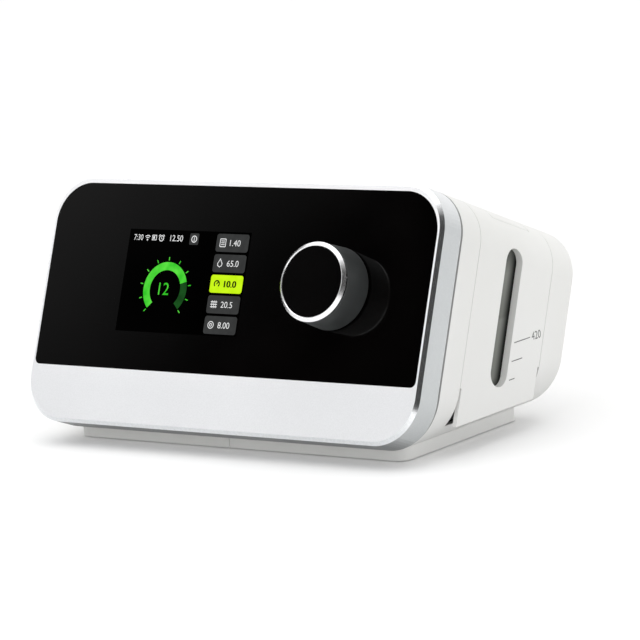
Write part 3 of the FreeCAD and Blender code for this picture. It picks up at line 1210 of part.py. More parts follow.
def make_air_outlet():
    """22 mm hose fitting, with a flange on each side of the rear wall."""
    inner_flange = (CASE_INNER_REAR - OUTLET_FLANGE_THICK, CASE_INNER_REAR)
    outer_flange = (CASE_DEPTH, CASE_DEPTH + OUTLET_FLANGE_THICK)
    tip = CASE_DEPTH + OUTLET_PROUD
    inner_radius = OUTLET_RADIUS + OUTLET_INNER_FLANGE
    profile = [(OUTLET_BORE, OUTLET_INNER_DEPTH), (OUTLET_RADIUS, OUTLET_INNER_DEPTH),
               (OUTLET_RADIUS, inner_flange[0]), (inner_radius, inner_flange[0]),
               (inner_radius, inner_flange[1]), (OUTLET_RADIUS, inner_flange[1]),
               (OUTLET_RADIUS, outer_flange[0]), (OUTLET_FLANGE_RADIUS, outer_flange[0]),
               (OUTLET_FLANGE_RADIUS - OUTLET_EDGE, outer_flange[1]), (OUTLET_RADIUS, outer_flange[1]),
               (OUTLET_RADIUS, tip - OUTLET_TIP), (OUTLET_RADIUS - OUTLET_EDGE, tip), (OUTLET_BORE, tip)]
    return lean(turned_y(profile, OUTLET_X, PORT_HEIGHT))


def make_port_seals():
    """Soft rings that the tank's two ports push into."""
    x_range = (BAY_LEFT_X, BAY_LEFT_X + SEAL_THICK)
    rings = [rod_x(PORT_RADIUS + GAP + SEAL_WALL, x_range, depth, PORT_HEIGHT).cut(
        rod_x(PORT_RADIUS + GAP, x_range, depth, PORT_HEIGHT)) for depth in PORT_DEPTHS]
    return lean(Part.makeCompound(rings))


# ---- tank bay and heater

def bay_mouth_x():
    """The bay's floor ends where it meets the rounded lower corner inside the case."""
    radius = SIDE_RADIUS - CASE_WALL
    rise = CASE_FLOOR_Z + radius - BAY_LOW_Z
    return HALF_WIDTH - SIDE_RADIUS + math.sqrt(radius ** 2 - rise ** 2) - GAP


def heater_ranges(margin):
    """X and Y range of the tank's base plate, widened by a margin."""
    return widened(PLATE_XS, margin), widened(PLATE_YS, margin)


def make_tank_bay():
    """Dark liner that the tank slides into: closed on the left, open on the right."""
    depths = widened(PANEL_DEPTHS, -GAP)
    outer = leaning_prism((BAY_END_X, bay_mouth_x()), depths, BAY_LOW_Z, height=BAY_ROOF + BAY_WALL)
    inner = leaning_prism((BAY_LEFT_X, bay_mouth_x() + OVERCUT), widened(depths, -BAY_WALL), BAY_FLOOR_Z,
                          height=BAY_ROOF)
    rib_end = PANEL_SEAM_X - BAY_RIB_INSET
    roof_rib = lean(block((rib_end - BAY_RIB_THICK, rib_end), depths,
                          (BAY_ROOF + BAY_WALL, FACE_HEIGHT - CASE_WALL)))
    legs = [rod_z(BAY_LEG_RADIUS, (PAN_TOP_Z, BAY_LOW_Z), x, y) for x in BAY_LEG_XS for y in BAY_LEG_YS]
    heater_x, heater_y = heater_ranges(HEATER_MARGIN)
    end_wall = widened((BAY_END_X, BAY_LEFT_X), OVERCUT)
    cuts = [block(heater_x, heater_y, (0, BAY_FLOOR_Z + OVERCUT))]
    cuts += [lean(rod_x(DUCT_BORE, end_wall, depth, PORT_HEIGHT)) for depth in PORT_DEPTHS]
    return without(joined([outer.cut(inner), roof_rib] + legs), cuts)


def make_heater_plate():
    x_range, y_range = heater_ranges(HEATER_MARGIN)
    return block(x_range, y_range, (HEATER_TOP_Z - HEATER_THICK, HEATER_TOP_Z))


def make_heater_insulator():
    x_range, y_range = heater_ranges(-HEATER_MARGIN)
    return block(x_range, y_range, (PAN_TOP_Z, HEATER_TOP_Z - HEATER_THICK))


# ---- tank

def side_profile(thickness):
    """Section of the tank panel: over the roof's edge, round the corner and down the side."""
    centre = (HALF_WIDTH - SIDE_RADIUS, FACE_HEIGHT - SIDE_RADIUS)
    seam = PANEL_SEAM_X + GAP
    inner_radius = SIDE_RADIUS - thickness
    foot = -CASE_DEPTH

    def arc(radius, turns):
        return Part.Arc(*[V(centre[0], 0, centre[1]) + polar_xz(radius, turn) for turn in turns]).toShape()

    outer_top, inner_top = FACE_HEIGHT, FACE_HEIGHT - thickness
    outer_x, inner_x = HALF_WIDTH, HALF_WIDTH - thickness
    return Part.Face(Part.Wire([
        Part.LineSegment(V(seam, 0, outer_top), V(centre[0], 0, outer_top)).toShape(),
        arc(SIDE_RADIUS, reversed(QUARTER)),
        Part.LineSegment(V(outer_x, 0, centre[1]), V(outer_x, 0, foot)).toShape(),
        Part.LineSegment(V(outer_x, 0, foot), V(inner_x, 0, foot)).toShape(),
        Part.LineSegment(V(inner_x, 0, foot), V(inner_x, 0, centre[1])).toShape(),
        arc(inner_radius, QUARTER),
        Part.LineSegment(V(centre[0], 0, inner_top), V(seam, 0, inner_top)).toShape(),
        Part.LineSegment(V(seam, 0, inner_top), V(seam, 0, outer_top)).toShape()]))


def panel_shell(depths):
    profile = side_profile(PANEL_THICK)
    profile.translate(V(0, depths[0], 0))
    return profile.extrude(V(0, depths[1] - depths[0], 0))


def slot_slab(x_range, grow):
    """Round-ended slot of the level window, across X."""
    depths, heights = widened(LEVEL_SLOT_DEPTHS, grow), widened(LEVEL_SLOT_HEIGHTS, grow)
    radius = (depths[1] - depths[0]) / 2
    centre = sum(depths) / 2
    bar = block(x_range, depths, widened(heights, -radius))
    ends = [rod_x(radius, x_range, centre, height) for height in widened(heights, -radius)]
    return joined([bar] + ends)


def slit(depth_range, top_z):
    """Slit up into the panel from its foot, with a round end."""
    radius = (depth_range[1] - depth_range[0]) / 2
    centre = sum(depth_range) / 2
    x_range = widened(PANEL_XS, OVERCUT)
    top_height = (top_z - FACE_FOOT_Z + centre * SIN) / COS
    return [lean(block(x_range, depth_range, (-FACE_HEIGHT, top_height))),
            lean(rod_x(radius, x_range, centre, top_height))]


def make_tank_panel():
    depths = widened(PANEL_DEPTHS, -GAP)
    shell = panel_shell(depths)
    rim = slot_slab((LENS_XS[1], PANEL_XS[0] + PANEL_JOIN), LEVEL_RIM)
    ribs = [block((TANK_XS[1], PANEL_XS[0] + PANEL_JOIN), centred(depth, PANEL_RIB_THICK), PANEL_RIB_HEIGHTS)
            for depth in widened(TANK_DEPTHS, -PANEL_RIB_INSET)]
    latch_hole = block(LATCH_XS, LATCH_DEPTHS, (FACE_HEIGHT - SIDE_RADIUS, FACE_HEIGHT + OVERCUT))
    body = joined([shell, rim] + ribs)
    body = without(body, [slot_slab(widened((LENS_XS[1], HALF_WIDTH), OVERCUT), 0), latch_hole])
    slits = slit((depths[0] - SLIT_OVERLAP, depths[0] + SLIT_WIDTH), FRONT_SLIT_TOP_Z)
    slits += slit((depths[1] - SLIT_WIDTH, depths[1] + SLIT_OVERLAP), REAR_SLIT_TOP_Z)
    return without(lean(body).common(room_above(PANEL_FOOT_Z)), slits)


def make_tank_latch():
    """Press button in the panel's rounded top edge, with a stem below."""
    x_range, depths = widened(LATCH_XS, -LATCH_GAP), widened(LATCH_DEPTHS, -LATCH_GAP)
    edge_heights = (FACE_HEIGHT - SIDE_RADIUS, FACE_HEIGHT + OVERCUT)
    skin = panel_shell(depths).common(block(x_range, depths, edge_heights))
    stem = block((x_range[0], x_range[0] + LATCH_STEM_WIDTH), centred(sum(depths) / 2, LATCH_STEM_WIDTH),
                 (BAY_ROOF + BAY_WALL + GAP + LATCH_TRAVEL, FACE_HEIGHT))
    return lean(joined([skin, stem.common(outline_slab(PANEL_THICK / 2, depths))]))


def make_level_lens():
    return lean(slot_slab(LENS_XS, LEVEL_RIM))


def tank_form(inset, z_range):
    """The tank's outer form between two levels, drawn in by an inset and rounded at its closed end."""
    x_range = widened(TANK_XS, -inset)
    solid = leaning_prism(x_range, widened(TANK_DEPTHS, -inset), TANK_FLOOR_Z, height=TANK_TOP - inset)

    def is_end_corner(edge):
        ends = [vertex.Point for vertex in edge.Vertexes]
        direction = (ends[1] - ends[0]).normalize()
        upright = abs(direction.dot(V(0, SIN, COS))) > PARALLEL
        return upright and abs(ends[0].x - x_range[0]) < NEAR

    rounded = solid.makeFillet(TANK_RADIUS - inset, [edge for edge in solid.Edges if is_end_corner(edge)])
    return rounded.common(block((0, CASE_WIDTH), (-CASE_DEPTH, 3 * CASE_DEPTH), z_range))


def make_tank_tub():
    outer = tank_form(0, (TANK_FLOOR_Z, TANK_SPLIT_Z))
    inner = tank_form(TANK_WALL, (TANK_FLOOR_Z + TANK_WALL, TANK_SPLIT_Z))
    runner_low = BAY_FLOOR_Z + GAP
    runners = [leaning_prism(widened(TANK_XS, -TANK_RADIUS), (depth, depth + TANK_RUNNER), runner_low,
                             z_high=TANK_FLOOR_Z)
               for depth in (TANK_DEPTHS[0], TANK_DEPTHS[1] - TANK_RUNNER)]
    x_range, y_range = heater_ranges(-2 * HEATER_MARGIN)
    window = block(x_range, y_range, (0, TANK_FLOOR_Z + TANK_WALL + OVERCUT))
    return joined([outer.cut(inner)] + runners).cut(window)


def make_tank_base_plate():
    """Steel plate that carries the heat into the water: a flange under the tub and a raised middle."""
    x_range, y_range = heater_ranges(0)
    flange = block(x_range, y_range, (TANK_FLOOR_Z - PLATE_THICK, TANK_FLOOR_Z))
    x_range, y_range = heater_ranges(-2 * HEATER_MARGIN)
    return flange.fuse(block(x_range, y_range, (TANK_FLOOR_Z, TANK_FLOOR_Z + TANK_WALL))).removeSplitter()


def make_tank_lid_seal():
    z_range = (TANK_SPLIT_Z, LID_FLOOR_Z)
    return tank_form(0, z_range).cut(tank_form(TANK_WALL, z_range))


def make_tank_lid():
    """Upper half of the tank, with the two air ports on its closed end."""
    z_range = (LID_FLOOR_Z, 2 * FACE_HEIGHT)
    outer, inner = tank_form(0, z_range), tank_form(TANK_WALL, z_range)
    port_x = (BAY_LEFT_X + GAP, TANK_XS[0] + TANK_WALL)
    ports = [lean(rod_x(PORT_RADIUS, port_x, depth, PORT_HEIGHT)) for depth in PORT_DEPTHS]
    bores = [lean(rod_x(PORT_RADIUS - PORT_WALL, widened(port_x, OVERCUT), depth, PORT_HEIGHT))
             for depth in PORT_DEPTHS]
    return without(joined([outer.cut(inner)] + ports), bores)


NODES = {
    "front_bezel": make_front_bezel,
    "front_window": make_front_window,
    "display_module": make_display_module,
    "front_frame": make_front_frame,
    "frame_screws": make_frame_screws,
    "front_gasket": make_front_gasket,
    "main_housing": make_main_housing,
    "base_pan": make_base_pan,
    "plinth_left": lambda: make_plinth(-1),
    "plinth_right": lambda: make_plinth(1),
    "rubber_feet": make_rubber_feet,
    "base_screws": make_base_screws,
    "main_board": make_main_board,
    "main_board_parts": make_main_board_parts,
    "board_screws": make_board_screws,
    "sd_socket": make_sd_socket,
    "sd_card": make_sd_card,
    "button_board": make_button_board,
    "button_switch": make_button_switch,
    "power_button": make_power_button,
    "encoder_body": make_encoder_body,
    "encoder_nut": make_encoder_nut,
    "encoder_plunger": make_encoder_plunger,
    "encoder_shaft": make_encoder_shaft,
    "knob_barrel": make_knob_barrel,
    "knob_ring": make_knob_ring,
    "knob_cap": make_knob_cap,
    "volute_base": make_volute_base,
    "volute_cover": make_volute_cover,
    "blower_motor": make_blower_motor,
    "motor_shaft": make_motor_shaft,
    "impeller": make_impeller,
    "blower_mounts": make_blower_mounts,
    "inlet_bellows": make_inlet_bellows,
    "intake_muffler": make_intake_muffler,
    "muffler_foam": make_muffler_foam,
    "filter_frame": make_filter_frame,
    "air_filter": make_air_filter,
    "filter_cover": make_filter_cover,
    "blower_duct": make_blower_duct,
    "outlet_duct": make_outlet_duct,
    "flow_sensor": make_flow_sensor,
    "air_outlet": make_air_outlet,
    "port_seals": make_port_seals,
    "tank_bay": make_tank_bay,
    "heater_plate": make_heater_plate,
    "heater_insulator": make_heater_insulator,
    "power_board": make_power_board,
    "power_board_parts": make_power_board_parts,
    "dc_inlet": make_dc_inlet,
    "dc_pin": make_dc_pin,
    "speaker": make_speaker,
    "tank_panel": make_tank_panel,
    "tank_latch": make_tank_latch,
    "level_lens": make_level_lens,
    "tank_tub": make_tank_tub,
    "tank_base_plate": make_tank_base_plate,
    "tank_lid_seal": make_tank_lid_seal,
    "tank_lid": make_tank_lid,
}


def main():
    """Builds every piece and moves the origin to the middle of the machine's footprint, on the table."""
    shapes = {name: make() for name, make in NODES.items()}
    extent = Part.makeCompound(list(shapes.values())).BoundBox
    shift = V(-(extent.XMin + extent.XMax) / 2, -(extent.YMin + extent.YMax) / 2, -extent.ZMin)
    os.makedirs("parts", exist_ok=True)
    for name, shape in shapes.items():
        shape.translate(shift)
        shape.exportStep(os.path.join("parts", name + ".step"))
    return shapes, shift


SHAPES, ORIGIN_SHIFT = main()
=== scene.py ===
"""Looks of the breathing-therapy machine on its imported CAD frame. Metres, in the row frame."""
import json
import math

import bpy
from mathutils import Matrix, Vector


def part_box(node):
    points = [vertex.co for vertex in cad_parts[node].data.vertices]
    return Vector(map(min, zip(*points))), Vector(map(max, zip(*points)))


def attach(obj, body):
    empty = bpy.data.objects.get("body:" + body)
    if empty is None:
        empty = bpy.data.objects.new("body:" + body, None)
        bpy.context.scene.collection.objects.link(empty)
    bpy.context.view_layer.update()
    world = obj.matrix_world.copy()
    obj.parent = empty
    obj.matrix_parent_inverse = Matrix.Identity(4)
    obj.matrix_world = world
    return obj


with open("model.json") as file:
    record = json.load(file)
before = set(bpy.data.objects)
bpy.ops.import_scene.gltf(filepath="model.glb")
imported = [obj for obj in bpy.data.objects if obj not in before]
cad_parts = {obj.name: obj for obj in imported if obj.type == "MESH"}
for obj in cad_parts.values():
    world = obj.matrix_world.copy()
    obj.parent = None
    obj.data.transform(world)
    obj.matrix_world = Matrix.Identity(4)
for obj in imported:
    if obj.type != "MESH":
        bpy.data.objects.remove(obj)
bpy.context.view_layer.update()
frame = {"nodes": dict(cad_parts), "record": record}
nodes = frame["nodes"]
slot_of = {part["node"]: part["material_slot"] for part in frame["record"]["subparts"]}
MM = 0.001


def put_in_scene(name, data):
    """A new object around a mesh, lamp or camera."""
    made = bpy.data.objects.new(name, data)
    bpy.context.scene.collection.objects.link(made)
    return made


# ---------------------------------------------------------------- camera
FOCAL_LENGTH, SENSOR_WIDTH = 206.3, 36.0         # mm
VIEW_TURN = (37.652, 10.124, -4.677)             # azimuth, elevation and roll, degrees
VIEW_PLACE = (1.08545, -1.39596, 0.36634)

camera_data = bpy.data.cameras.new("camera")
camera_data.lens = FOCAL_LENGTH
camera_data.sensor_width = SENSOR_WIDTH
camera_data.clip_start = 0.05
camera_data.clip_end = 60.0
camera = put_in_scene("camera", camera_data)
bpy.context.scene.camera = camera
azimuth, elevation, roll = (math.radians(angle) for angle in VIEW_TURN)
back = Vector((math.sin(azimuth) * math.cos(elevation), -math.cos(azimuth) * math.cos(elevation),
               math.sin(elevation)))
level_right = Vector((math.cos(azimuth), math.sin(azimuth), 0))
level_up = back.cross(level_right)
right = level_right * math.cos(roll) + level_up * math.sin(roll)
up = level_up * math.cos(roll) - level_right * math.sin(roll)
camera_place = Matrix((right, up, back)).transposed().to_4x4()
camera_place.translation = Vector(VIEW_PLACE)
camera.matrix_world = camera_place

# ---------------------------------------------------------------- the leaning face
TILT = math.radians(21.6)                        # of the face, out of the vertical
INTO_FACE = (0.0, math.cos(TILT), -math.sin(TILT))
OUT_OF_FACE = (0.0, -math.cos(TILT), math.sin(TILT))
WINDOW_LOW, WINDOW_TOP = 27.75, 119.4            # heights of the window's edges up the face, mm
WINDOW_SINK = 0.15                               # of the window behind the bezel's face
SCREEN_X, CONTROL_HEIGHT = -29.7, 71.8           # middle of the screen, across and up the face
SCREEN_W, SCREEN_H = 73.44, 48.96
window_low, window_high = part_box("front_window")
face_y = window_low.y / MM - WINDOW_LOW * math.sin(TILT) - WINDOW_SINK * math.cos(TILT)
face_z = window_high.z / MM - WINDOW_TOP * math.cos(TILT) + WINDOW_SINK * math.sin(TILT)


def on_face(x, depth, height):
    """Row-frame point in metres of a place on the leaning face, in mm."""
    return Vector((x, face_y + height * math.sin(TILT) + depth * math.cos(TILT),
                   face_z + height * math.cos(TILT) - depth * math.sin(TILT))) * MM


# ---------------------------------------------------------------- materials
def srgb(*values):
    """Shader colour of three display values from 0 to 255."""
    shares = [value / 255 for value in values]
    linear = [share / 12.92 if share <= 0.04045 else ((share + 0.055) / 1.055) ** 2.4 for share in shares]
    return (*linear, 1)


class Maker:
    """A node material with a Principled shader and short helpers."""

    def __init__(self, name, **values):
        self.material = bpy.data.materials.new(name)
        self.material.use_nodes = True
        self.tree = self.material.node_tree
        self.shader = self.tree.nodes["Principled BSDF"]
        for socket, value in values.items():
            self.shader.inputs[socket.replace("_", " ")].default_value = value
        self.place = self.add("ShaderNodeTexCoord").outputs["Object"]

    def add(self, kind, **settings):
        node = self.tree.nodes.new(kind)
        for name, value in settings.items():
            setattr(node, name, value)
        return node

    def link(self, output, target):
        self.tree.links.new(output, target)

    def noise(self, scale, detail=2.0, rough=0.5, stretch=None):
        node = self.add("ShaderNodeTexNoise")
        node.inputs["Scale"].default_value = scale
        node.inputs["Detail"].default_value = detail
        node.inputs["Roughness"].default_value = rough
        source = self.place
        if stretch:
            mapping = self.add("ShaderNodeMapping")
            mapping.inputs["Scale"].default_value = stretch
            self.link(source, mapping.inputs["Vector"])
            source = mapping.outputs["Vector"]
        self.link(source, node.inputs["Vector"])
        return node.outputs["Fac"]

    def ramp(self, factor, low, high, at=(0.35, 0.65)):
        """Blend of two display colours, as the factor goes through the two places in at."""
        return self.stepped(factor, zip(at, (srgb(*low), srgb(*high))))

    def stepped(self, factor, stops):
        """Colour ramp through stops of a position and a shader colour."""
        stops = list(stops)
        node = self.add("ShaderNodeValToRGB")
        while len(node.color_ramp.elements) < len(stops):
            node.color_ramp.elements.new(0.5)
        for element, (position, colour) in zip(node.color_ramp.elements, stops):
            element.position, element.color = position, colour
        self.link(factor, node.inputs["Fac"])
        return node.outputs["Color"]

    def greys(self, factor, stops):
        """Ramp through stops of a position and a plain level."""
        return self.stepped(factor, [(position, (level, level, level, 1)) for position, level in stops])

    def spread(self, factor, low, high, at=(0.3, 0.7)):
        """A number from low to high, as the factor goes through the two places in at."""
        node = self.add("ShaderNodeMapRange")
        for socket, value in zip(("From Min", "From Max", "To Min", "To Max"), (*at, low, high)):
            node.inputs[socket].default_value = value
        self.link(factor, node.inputs["Value"])
        return node.outputs["Result"]

    def share(self, factor, start, end):
        """0 to 1, as the factor goes from start to end."""
        return self.spread(factor, 0.0, 1.0, (start, end))

    def along(self, vector, direction):
        node = self.add("ShaderNodeVectorMath", operation="DOT_PRODUCT")
        node.inputs[1].default_value = direction
        self.link(vector, node.inputs[0])
        return node.outputs["Value"]

    def upward(self, vector):
        node = self.add("ShaderNodeSeparateXYZ")
        self.link(vector, node.inputs["Vector"])
        return node.outputs["Z"]

    def normal(self):
        return self.add("ShaderNodeNewGeometry").outputs["True Normal"]

    def facing(self, stops):
        """Grey ramp over how squarely a surface looks out of the leaning face, from 0 to 1."""
        return self.greys(self.along(self.normal(), OUT_OF_FACE), stops)

    def rise(self):
        """How far a surface looks up, from -1 to 1."""
        return self.upward(self.normal())

    def mix(self, kind, factor, first, second):
        node = self.add("ShaderNodeMix", data_type=kind)
        sockets = [socket for socket in node.inputs if socket.enabled]
        for output, socket in zip((factor, first, second), sockets):
            self.link(output, socket)
        return [socket for socket in node.outputs if socket.enabled][0]

    def bump(self, height, distance):
        node = self.add("ShaderNodeBump")
        node.inputs["Distance"].default_value = distance
        node.inputs["Strength"].default_value = 1.0
        self.link(height, node.inputs["Height"])
        self.link(node.outputs["Normal"], self.shader.inputs["Normal"])

    def colour(self, output):
        self.link(output, self.shader.inputs["Base Color"])

    def roughness(self, output):
        self.link(output, self.shader.inputs["Roughness"])


def moulded(name, low, high, rough, grain=1800.0):
    """Moulded plastic: fine spark-eroded grain, slow variation of tone and sheen."""
    maker = Maker(name)
    maker.colour(maker.ramp(maker.noise(14.0, 3.0), low, high))
    maker.roughness(maker.spread(maker.noise(60.0, 3.0), rough - 0.04, rough + 0.05))
    maker.bump(maker.noise(grain), 0.00002)
    return maker.material


def metal(name, low, high, rough, stretch):
    """Metal with a directional brushed finish."""
    maker = Maker(name, Metallic=1.0)
    streaks = maker.noise(900.0, 3.0, 0.6, stretch)
    maker.colour(maker.ramp(streaks, low, high))
    maker.roughness(maker.spread(streaks, rough - 0.05, rough + 0.08))
    maker.bump(streaks, 0.00001)
    return maker.material


# how squarely the bezel's side, its front and its chamfer look out of the face, from 0 to 1
SIDE_END, FRONT_START = 0.3, 0.6
CUT_START, CUT_END, CUT_EDGE = 0.66, 0.76, 0.02
PAINT_SIDE, PAINT_FRONT = 0.6, 0.12              # how metallic the paint is on the side and the front


def silver_paint(name):
    """Satin silver paint, painted greyer on the side and dark underneath as shade, with a painted highlight
    toward the top of its front and where its side looks up; its chamfer is cut to polished metal, painted
    darker where it looks down.
    """
    maker = Maker(name)
    flakes = maker.noise(1800.0, 1.0)
    rise = maker.rise()
    # the front is painted lighter toward its top: a painted highlight
    front_low = maker.ramp(flakes, (229, 230, 232), (234, 235, 237))
    front_painted_highlight = maker.ramp(flakes, (247, 247, 249), (251, 251, 252))
    front = maker.mix("RGBA", maker.share(maker.upward(maker.place), 0.03, 0.11), front_low, front_painted_highlight)
    # the side is painted a tone greyer than the front as shade, and much darker where it looks down: painted
    # shade underneath
    side = maker.ramp(flakes, (196, 199, 200), (203, 206, 207))
    under = maker.ramp(flakes, (112, 114, 116), (122, 124, 126))
    side = maker.mix("RGBA", maker.share(rise, -0.97, -0.72), under, side)
    # where the side looks up it takes the same painted highlight as the top of the front
    side = maker.mix("RGBA", maker.spread(rise, 0.0, 0.5, (0.1, 0.7)), side, front_painted_highlight)
    paint = maker.mix("RGBA", maker.facing(((SIDE_END, 0), (FRONT_START, 1))), side, front)
    wear = maker.noise(700.0)
    # the chamfer's bare metal is painted darker where it looks down: painted shade
    polished = maker.ramp(wear, (244, 245, 247), (250, 251, 252))
    bare_painted_shade = maker.ramp(wear, (216, 218, 220), (224, 226, 228))
    bare = maker.mix("RGBA", maker.share(rise, -0.3, 0.15), bare_painted_shade, polished)
    cut_first, cut_last = CUT_START + CUT_EDGE, CUT_END - CUT_EDGE
    cut = maker.facing(((CUT_START, 0), (cut_first, 1), (cut_last, 1), (CUT_END, 0)))
    maker.colour(maker.mix("RGBA", cut, paint, bare))
    metallic = maker.facing(((SIDE_END, PAINT_SIDE), (FRONT_START, PAINT_FRONT), (CUT_START, PAINT_FRONT),
                             (cut_first, 1), (cut_last, 1), (CUT_END, PAINT_FRONT)))
    maker.link(metallic, maker.shader.inputs["Metallic"])
    satin = maker.spread(maker.noise(45.0, 3.0), 0.38, 0.46)
    polish = maker.spread(maker.noise(300.0), 0.16, 0.2)
    maker.roughness(maker.mix("FLOAT", cut, satin, polish))
    maker.bump(maker.noise(1500.0), 0.000008)
    return maker.material


RIM_DEPTH, RIM_EDGE = 16.55, 0.05                # end of the case's rim painted dark as shade in the joint, behind the face's plane, mm


def case_plastic(name):
    """White moulded case; its rim under the bezel is painted dark as the shade in the joint, fading out where
    it looks up.
    """
    maker = Maker(name)
    plane = face_y * math.cos(TILT) - face_z * math.sin(TILT)
    rim_end = ((plane + RIM_DEPTH) * MM, (plane + RIM_DEPTH + RIM_EDGE) * MM)
    rim = maker.spread(maker.along(maker.place, INTO_FACE), 1.0, 0.0, rim_end)
    white = maker.ramp(maker.noise(14.0, 3.0), (238, 238, 235), (242, 242, 240))
    # painted shade in the joint behind the bezel, fading to the white where the rim looks up
    dark = maker.ramp(maker.noise(200.0, 3.0), (126, 127, 128), (138, 139, 140))
    dark = maker.mix("RGBA", maker.share(maker.rise(), 0.1, 0.6), dark, white)
    maker.colour(maker.mix("RGBA", rim, white, dark))
    maker.roughness(maker.spread(maker.noise(60.0, 3.0), 0.38, 0.47))
    maker.bump(maker.noise(1800.0), 0.00002)
    return maker.material


def black_gloss(name, tone, level):
    """Glossy black plastic or glass with faint smears. The level is its specular level."""
    maker = Maker(name, Specular_IOR_Level=level)
    maker.colour(maker.ramp(maker.noise(9.0), (tone, tone, tone), (tone + 4, tone + 3, tone + 3)))
    maker.roughness(maker.spread(maker.noise(35.0, 4.0), 0.05, 0.10))
    return maker.material


def board(name):
    """Green circuit board with lighter tracks."""
    maker = Maker(name, Specular_IOR_Level=0.5, Coat_Weight=0.4, Coat_Roughness=0.2)
    bricks = maker.add("ShaderNodeTexBrick")
    for socket, value in (("Scale", 240.0), ("Mortar Size", 0.04), ("Brick Width", 1.6), ("Row Height", 0.5)):
        bricks.inputs[socket].default_value = value
    bricks.inputs["Color1"].default_value = srgb(14, 84, 48)
    bricks.inputs["Color2"].default_value = srgb(10, 74, 42)
    bricks.inputs["Mortar"].default_value = srgb(40, 118, 70)
    maker.link(maker.place, bricks.inputs["Vector"])
    maker.colour(bricks.outputs["Color"])
    maker.roughness(maker.spread(maker.noise(300.0), 0.3, 0.4))
    maker.bump(bricks.outputs["Fac"], 0.00003)
    return maker.material


def cellular(name, low, high, scale, depth):
    """Open foam: cells with darker pits."""
    maker = Maker(name, Roughness=0.95)
    cells = maker.add("ShaderNodeTexVoronoi")
    cells.inputs["Scale"].default_value = scale
    maker.link(maker.place, cells.inputs["Vector"])
    maker.colour(maker.ramp(cells.outputs["Distance"], low, high, (0.1, 0.5)))
    maker.bump(cells.outputs["Distance"], depth)
    return maker.material


def felt(name):
    """Pressed white fibres of the air filter."""
    maker = Maker(name, Roughness=0.95, Sheen_Weight=0.3, Sheen_Roughness=0.6)
    fibres = maker.noise(1400.0, 4.0, 0.7, (1.0, 0.25, 0.6))
    maker.colour(maker.ramp(fibres, (205, 206, 204), (240, 240, 237)))
    maker.bump(fibres, 0.00012)
    return maker.material


def clear_plastic(name, low, high, weight, rough):
    """Clear moulding that light passes through, with slightly wavy walls."""
    maker = Maker(name, Transmission_Weight=weight, IOR=1.49)
    maker.colour(maker.ramp(maker.noise(10.0), low, high))
    maker.roughness(maker.spread(maker.noise(50.0, 3.0), rough, rough + 0.05))
    maker.bump(maker.noise(120.0), 0.00002)
    return maker.material


# the level lens's display tone, from its foot to its top, painted darker at both ends as shade of the recess,
# and the share of it that is left, from front to rear, a painted shade of the recess wall
LENS_TONES = ((0.0, 75), (0.08, 125), (0.48, 135), (0.5, 120), (0.8, 135), (1.0, 65))
LENS_SHADE = ((0.55, 1.0), (0.85, 0.05))


def lens(name):
    """Smoked level window, as an opaque gradient: darker above its middle, and with painted shade of its
    recess at its ends and along its rear.
    """
    maker = Maker(name, IOR=1.1)
    low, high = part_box("level_lens")
    height = maker.share(maker.upward(maker.place), low.z, high.z)
    # darker at the foot and the top: painted shade of the recess
    smoke = maker.stepped(height, [(at, srgb(tone, tone + 2, tone - 3)) for at, tone in LENS_TONES])
    depths = [v.co.y * math.cos(TILT) - v.co.z * math.sin(TILT) for v in nodes["level_lens"].data.vertices]
    depth = maker.share(maker.along(maker.place, INTO_FACE), min(depths), max(depths))
    # painted shade of the recess wall, darker along the lens's rear
    shaded = maker.add("ShaderNodeVectorMath", operation="MULTIPLY")
    maker.link(smoke, shaded.inputs[0])
    maker.link(maker.greys(depth, LENS_SHADE), shaded.inputs[1])
    maker.colour(shaded.outputs["Vector"])
    maker.roughness(maker.spread(maker.noise(80.0, 3.0), 0.18, 0.26))
    return maker.material


def barrel(name):
    """Satin metallic grey of the knob's side."""
    maker = Maker(name, Metallic=0.85)
    maker.colour(maker.ramp(maker.noise(60.0, 3.0), (98, 101, 101), (108, 111, 111)))
    maker.roughness(maker.spread(maker.noise(60.0, 3.0), 0.44, 0.53))
    maker.bump(maker.noise(2600.0), 0.00001)
    return maker.material


def chrome(name):
    """Polished ring with a satin white front edge."""
    maker = Maker(name)
    edge = maker.facing(((0.8, 0), (0.85, 1)))
    maker.link(maker.spread(edge, 1.0, 0.0, (0.0, 1.0)), maker.shader.inputs["Metallic"])
    maker.colour(maker.ramp(maker.noise(30.0), (240, 240, 242), (250, 250, 250)))
    maker.roughness(maker.spread(maker.noise(500.0, 3.0), 0.2, 0.28))
    maker.bump(maker.noise(2500.0), 0.000004)
    return maker.material


def glow(name, low, high, scale=300.0):
    """Lit part of the screen, with a slight unevenness of the backlight."""
    maker = Maker(name, Roughness=0.3, Specular_IOR_Level=0.1, Base_Color=(0, 0, 0, 1), Emission_Strength=1.0)
    maker.link(maker.ramp(maker.noise(scale), low, high), maker.shader.inputs["Emission Color"])
    return maker.material


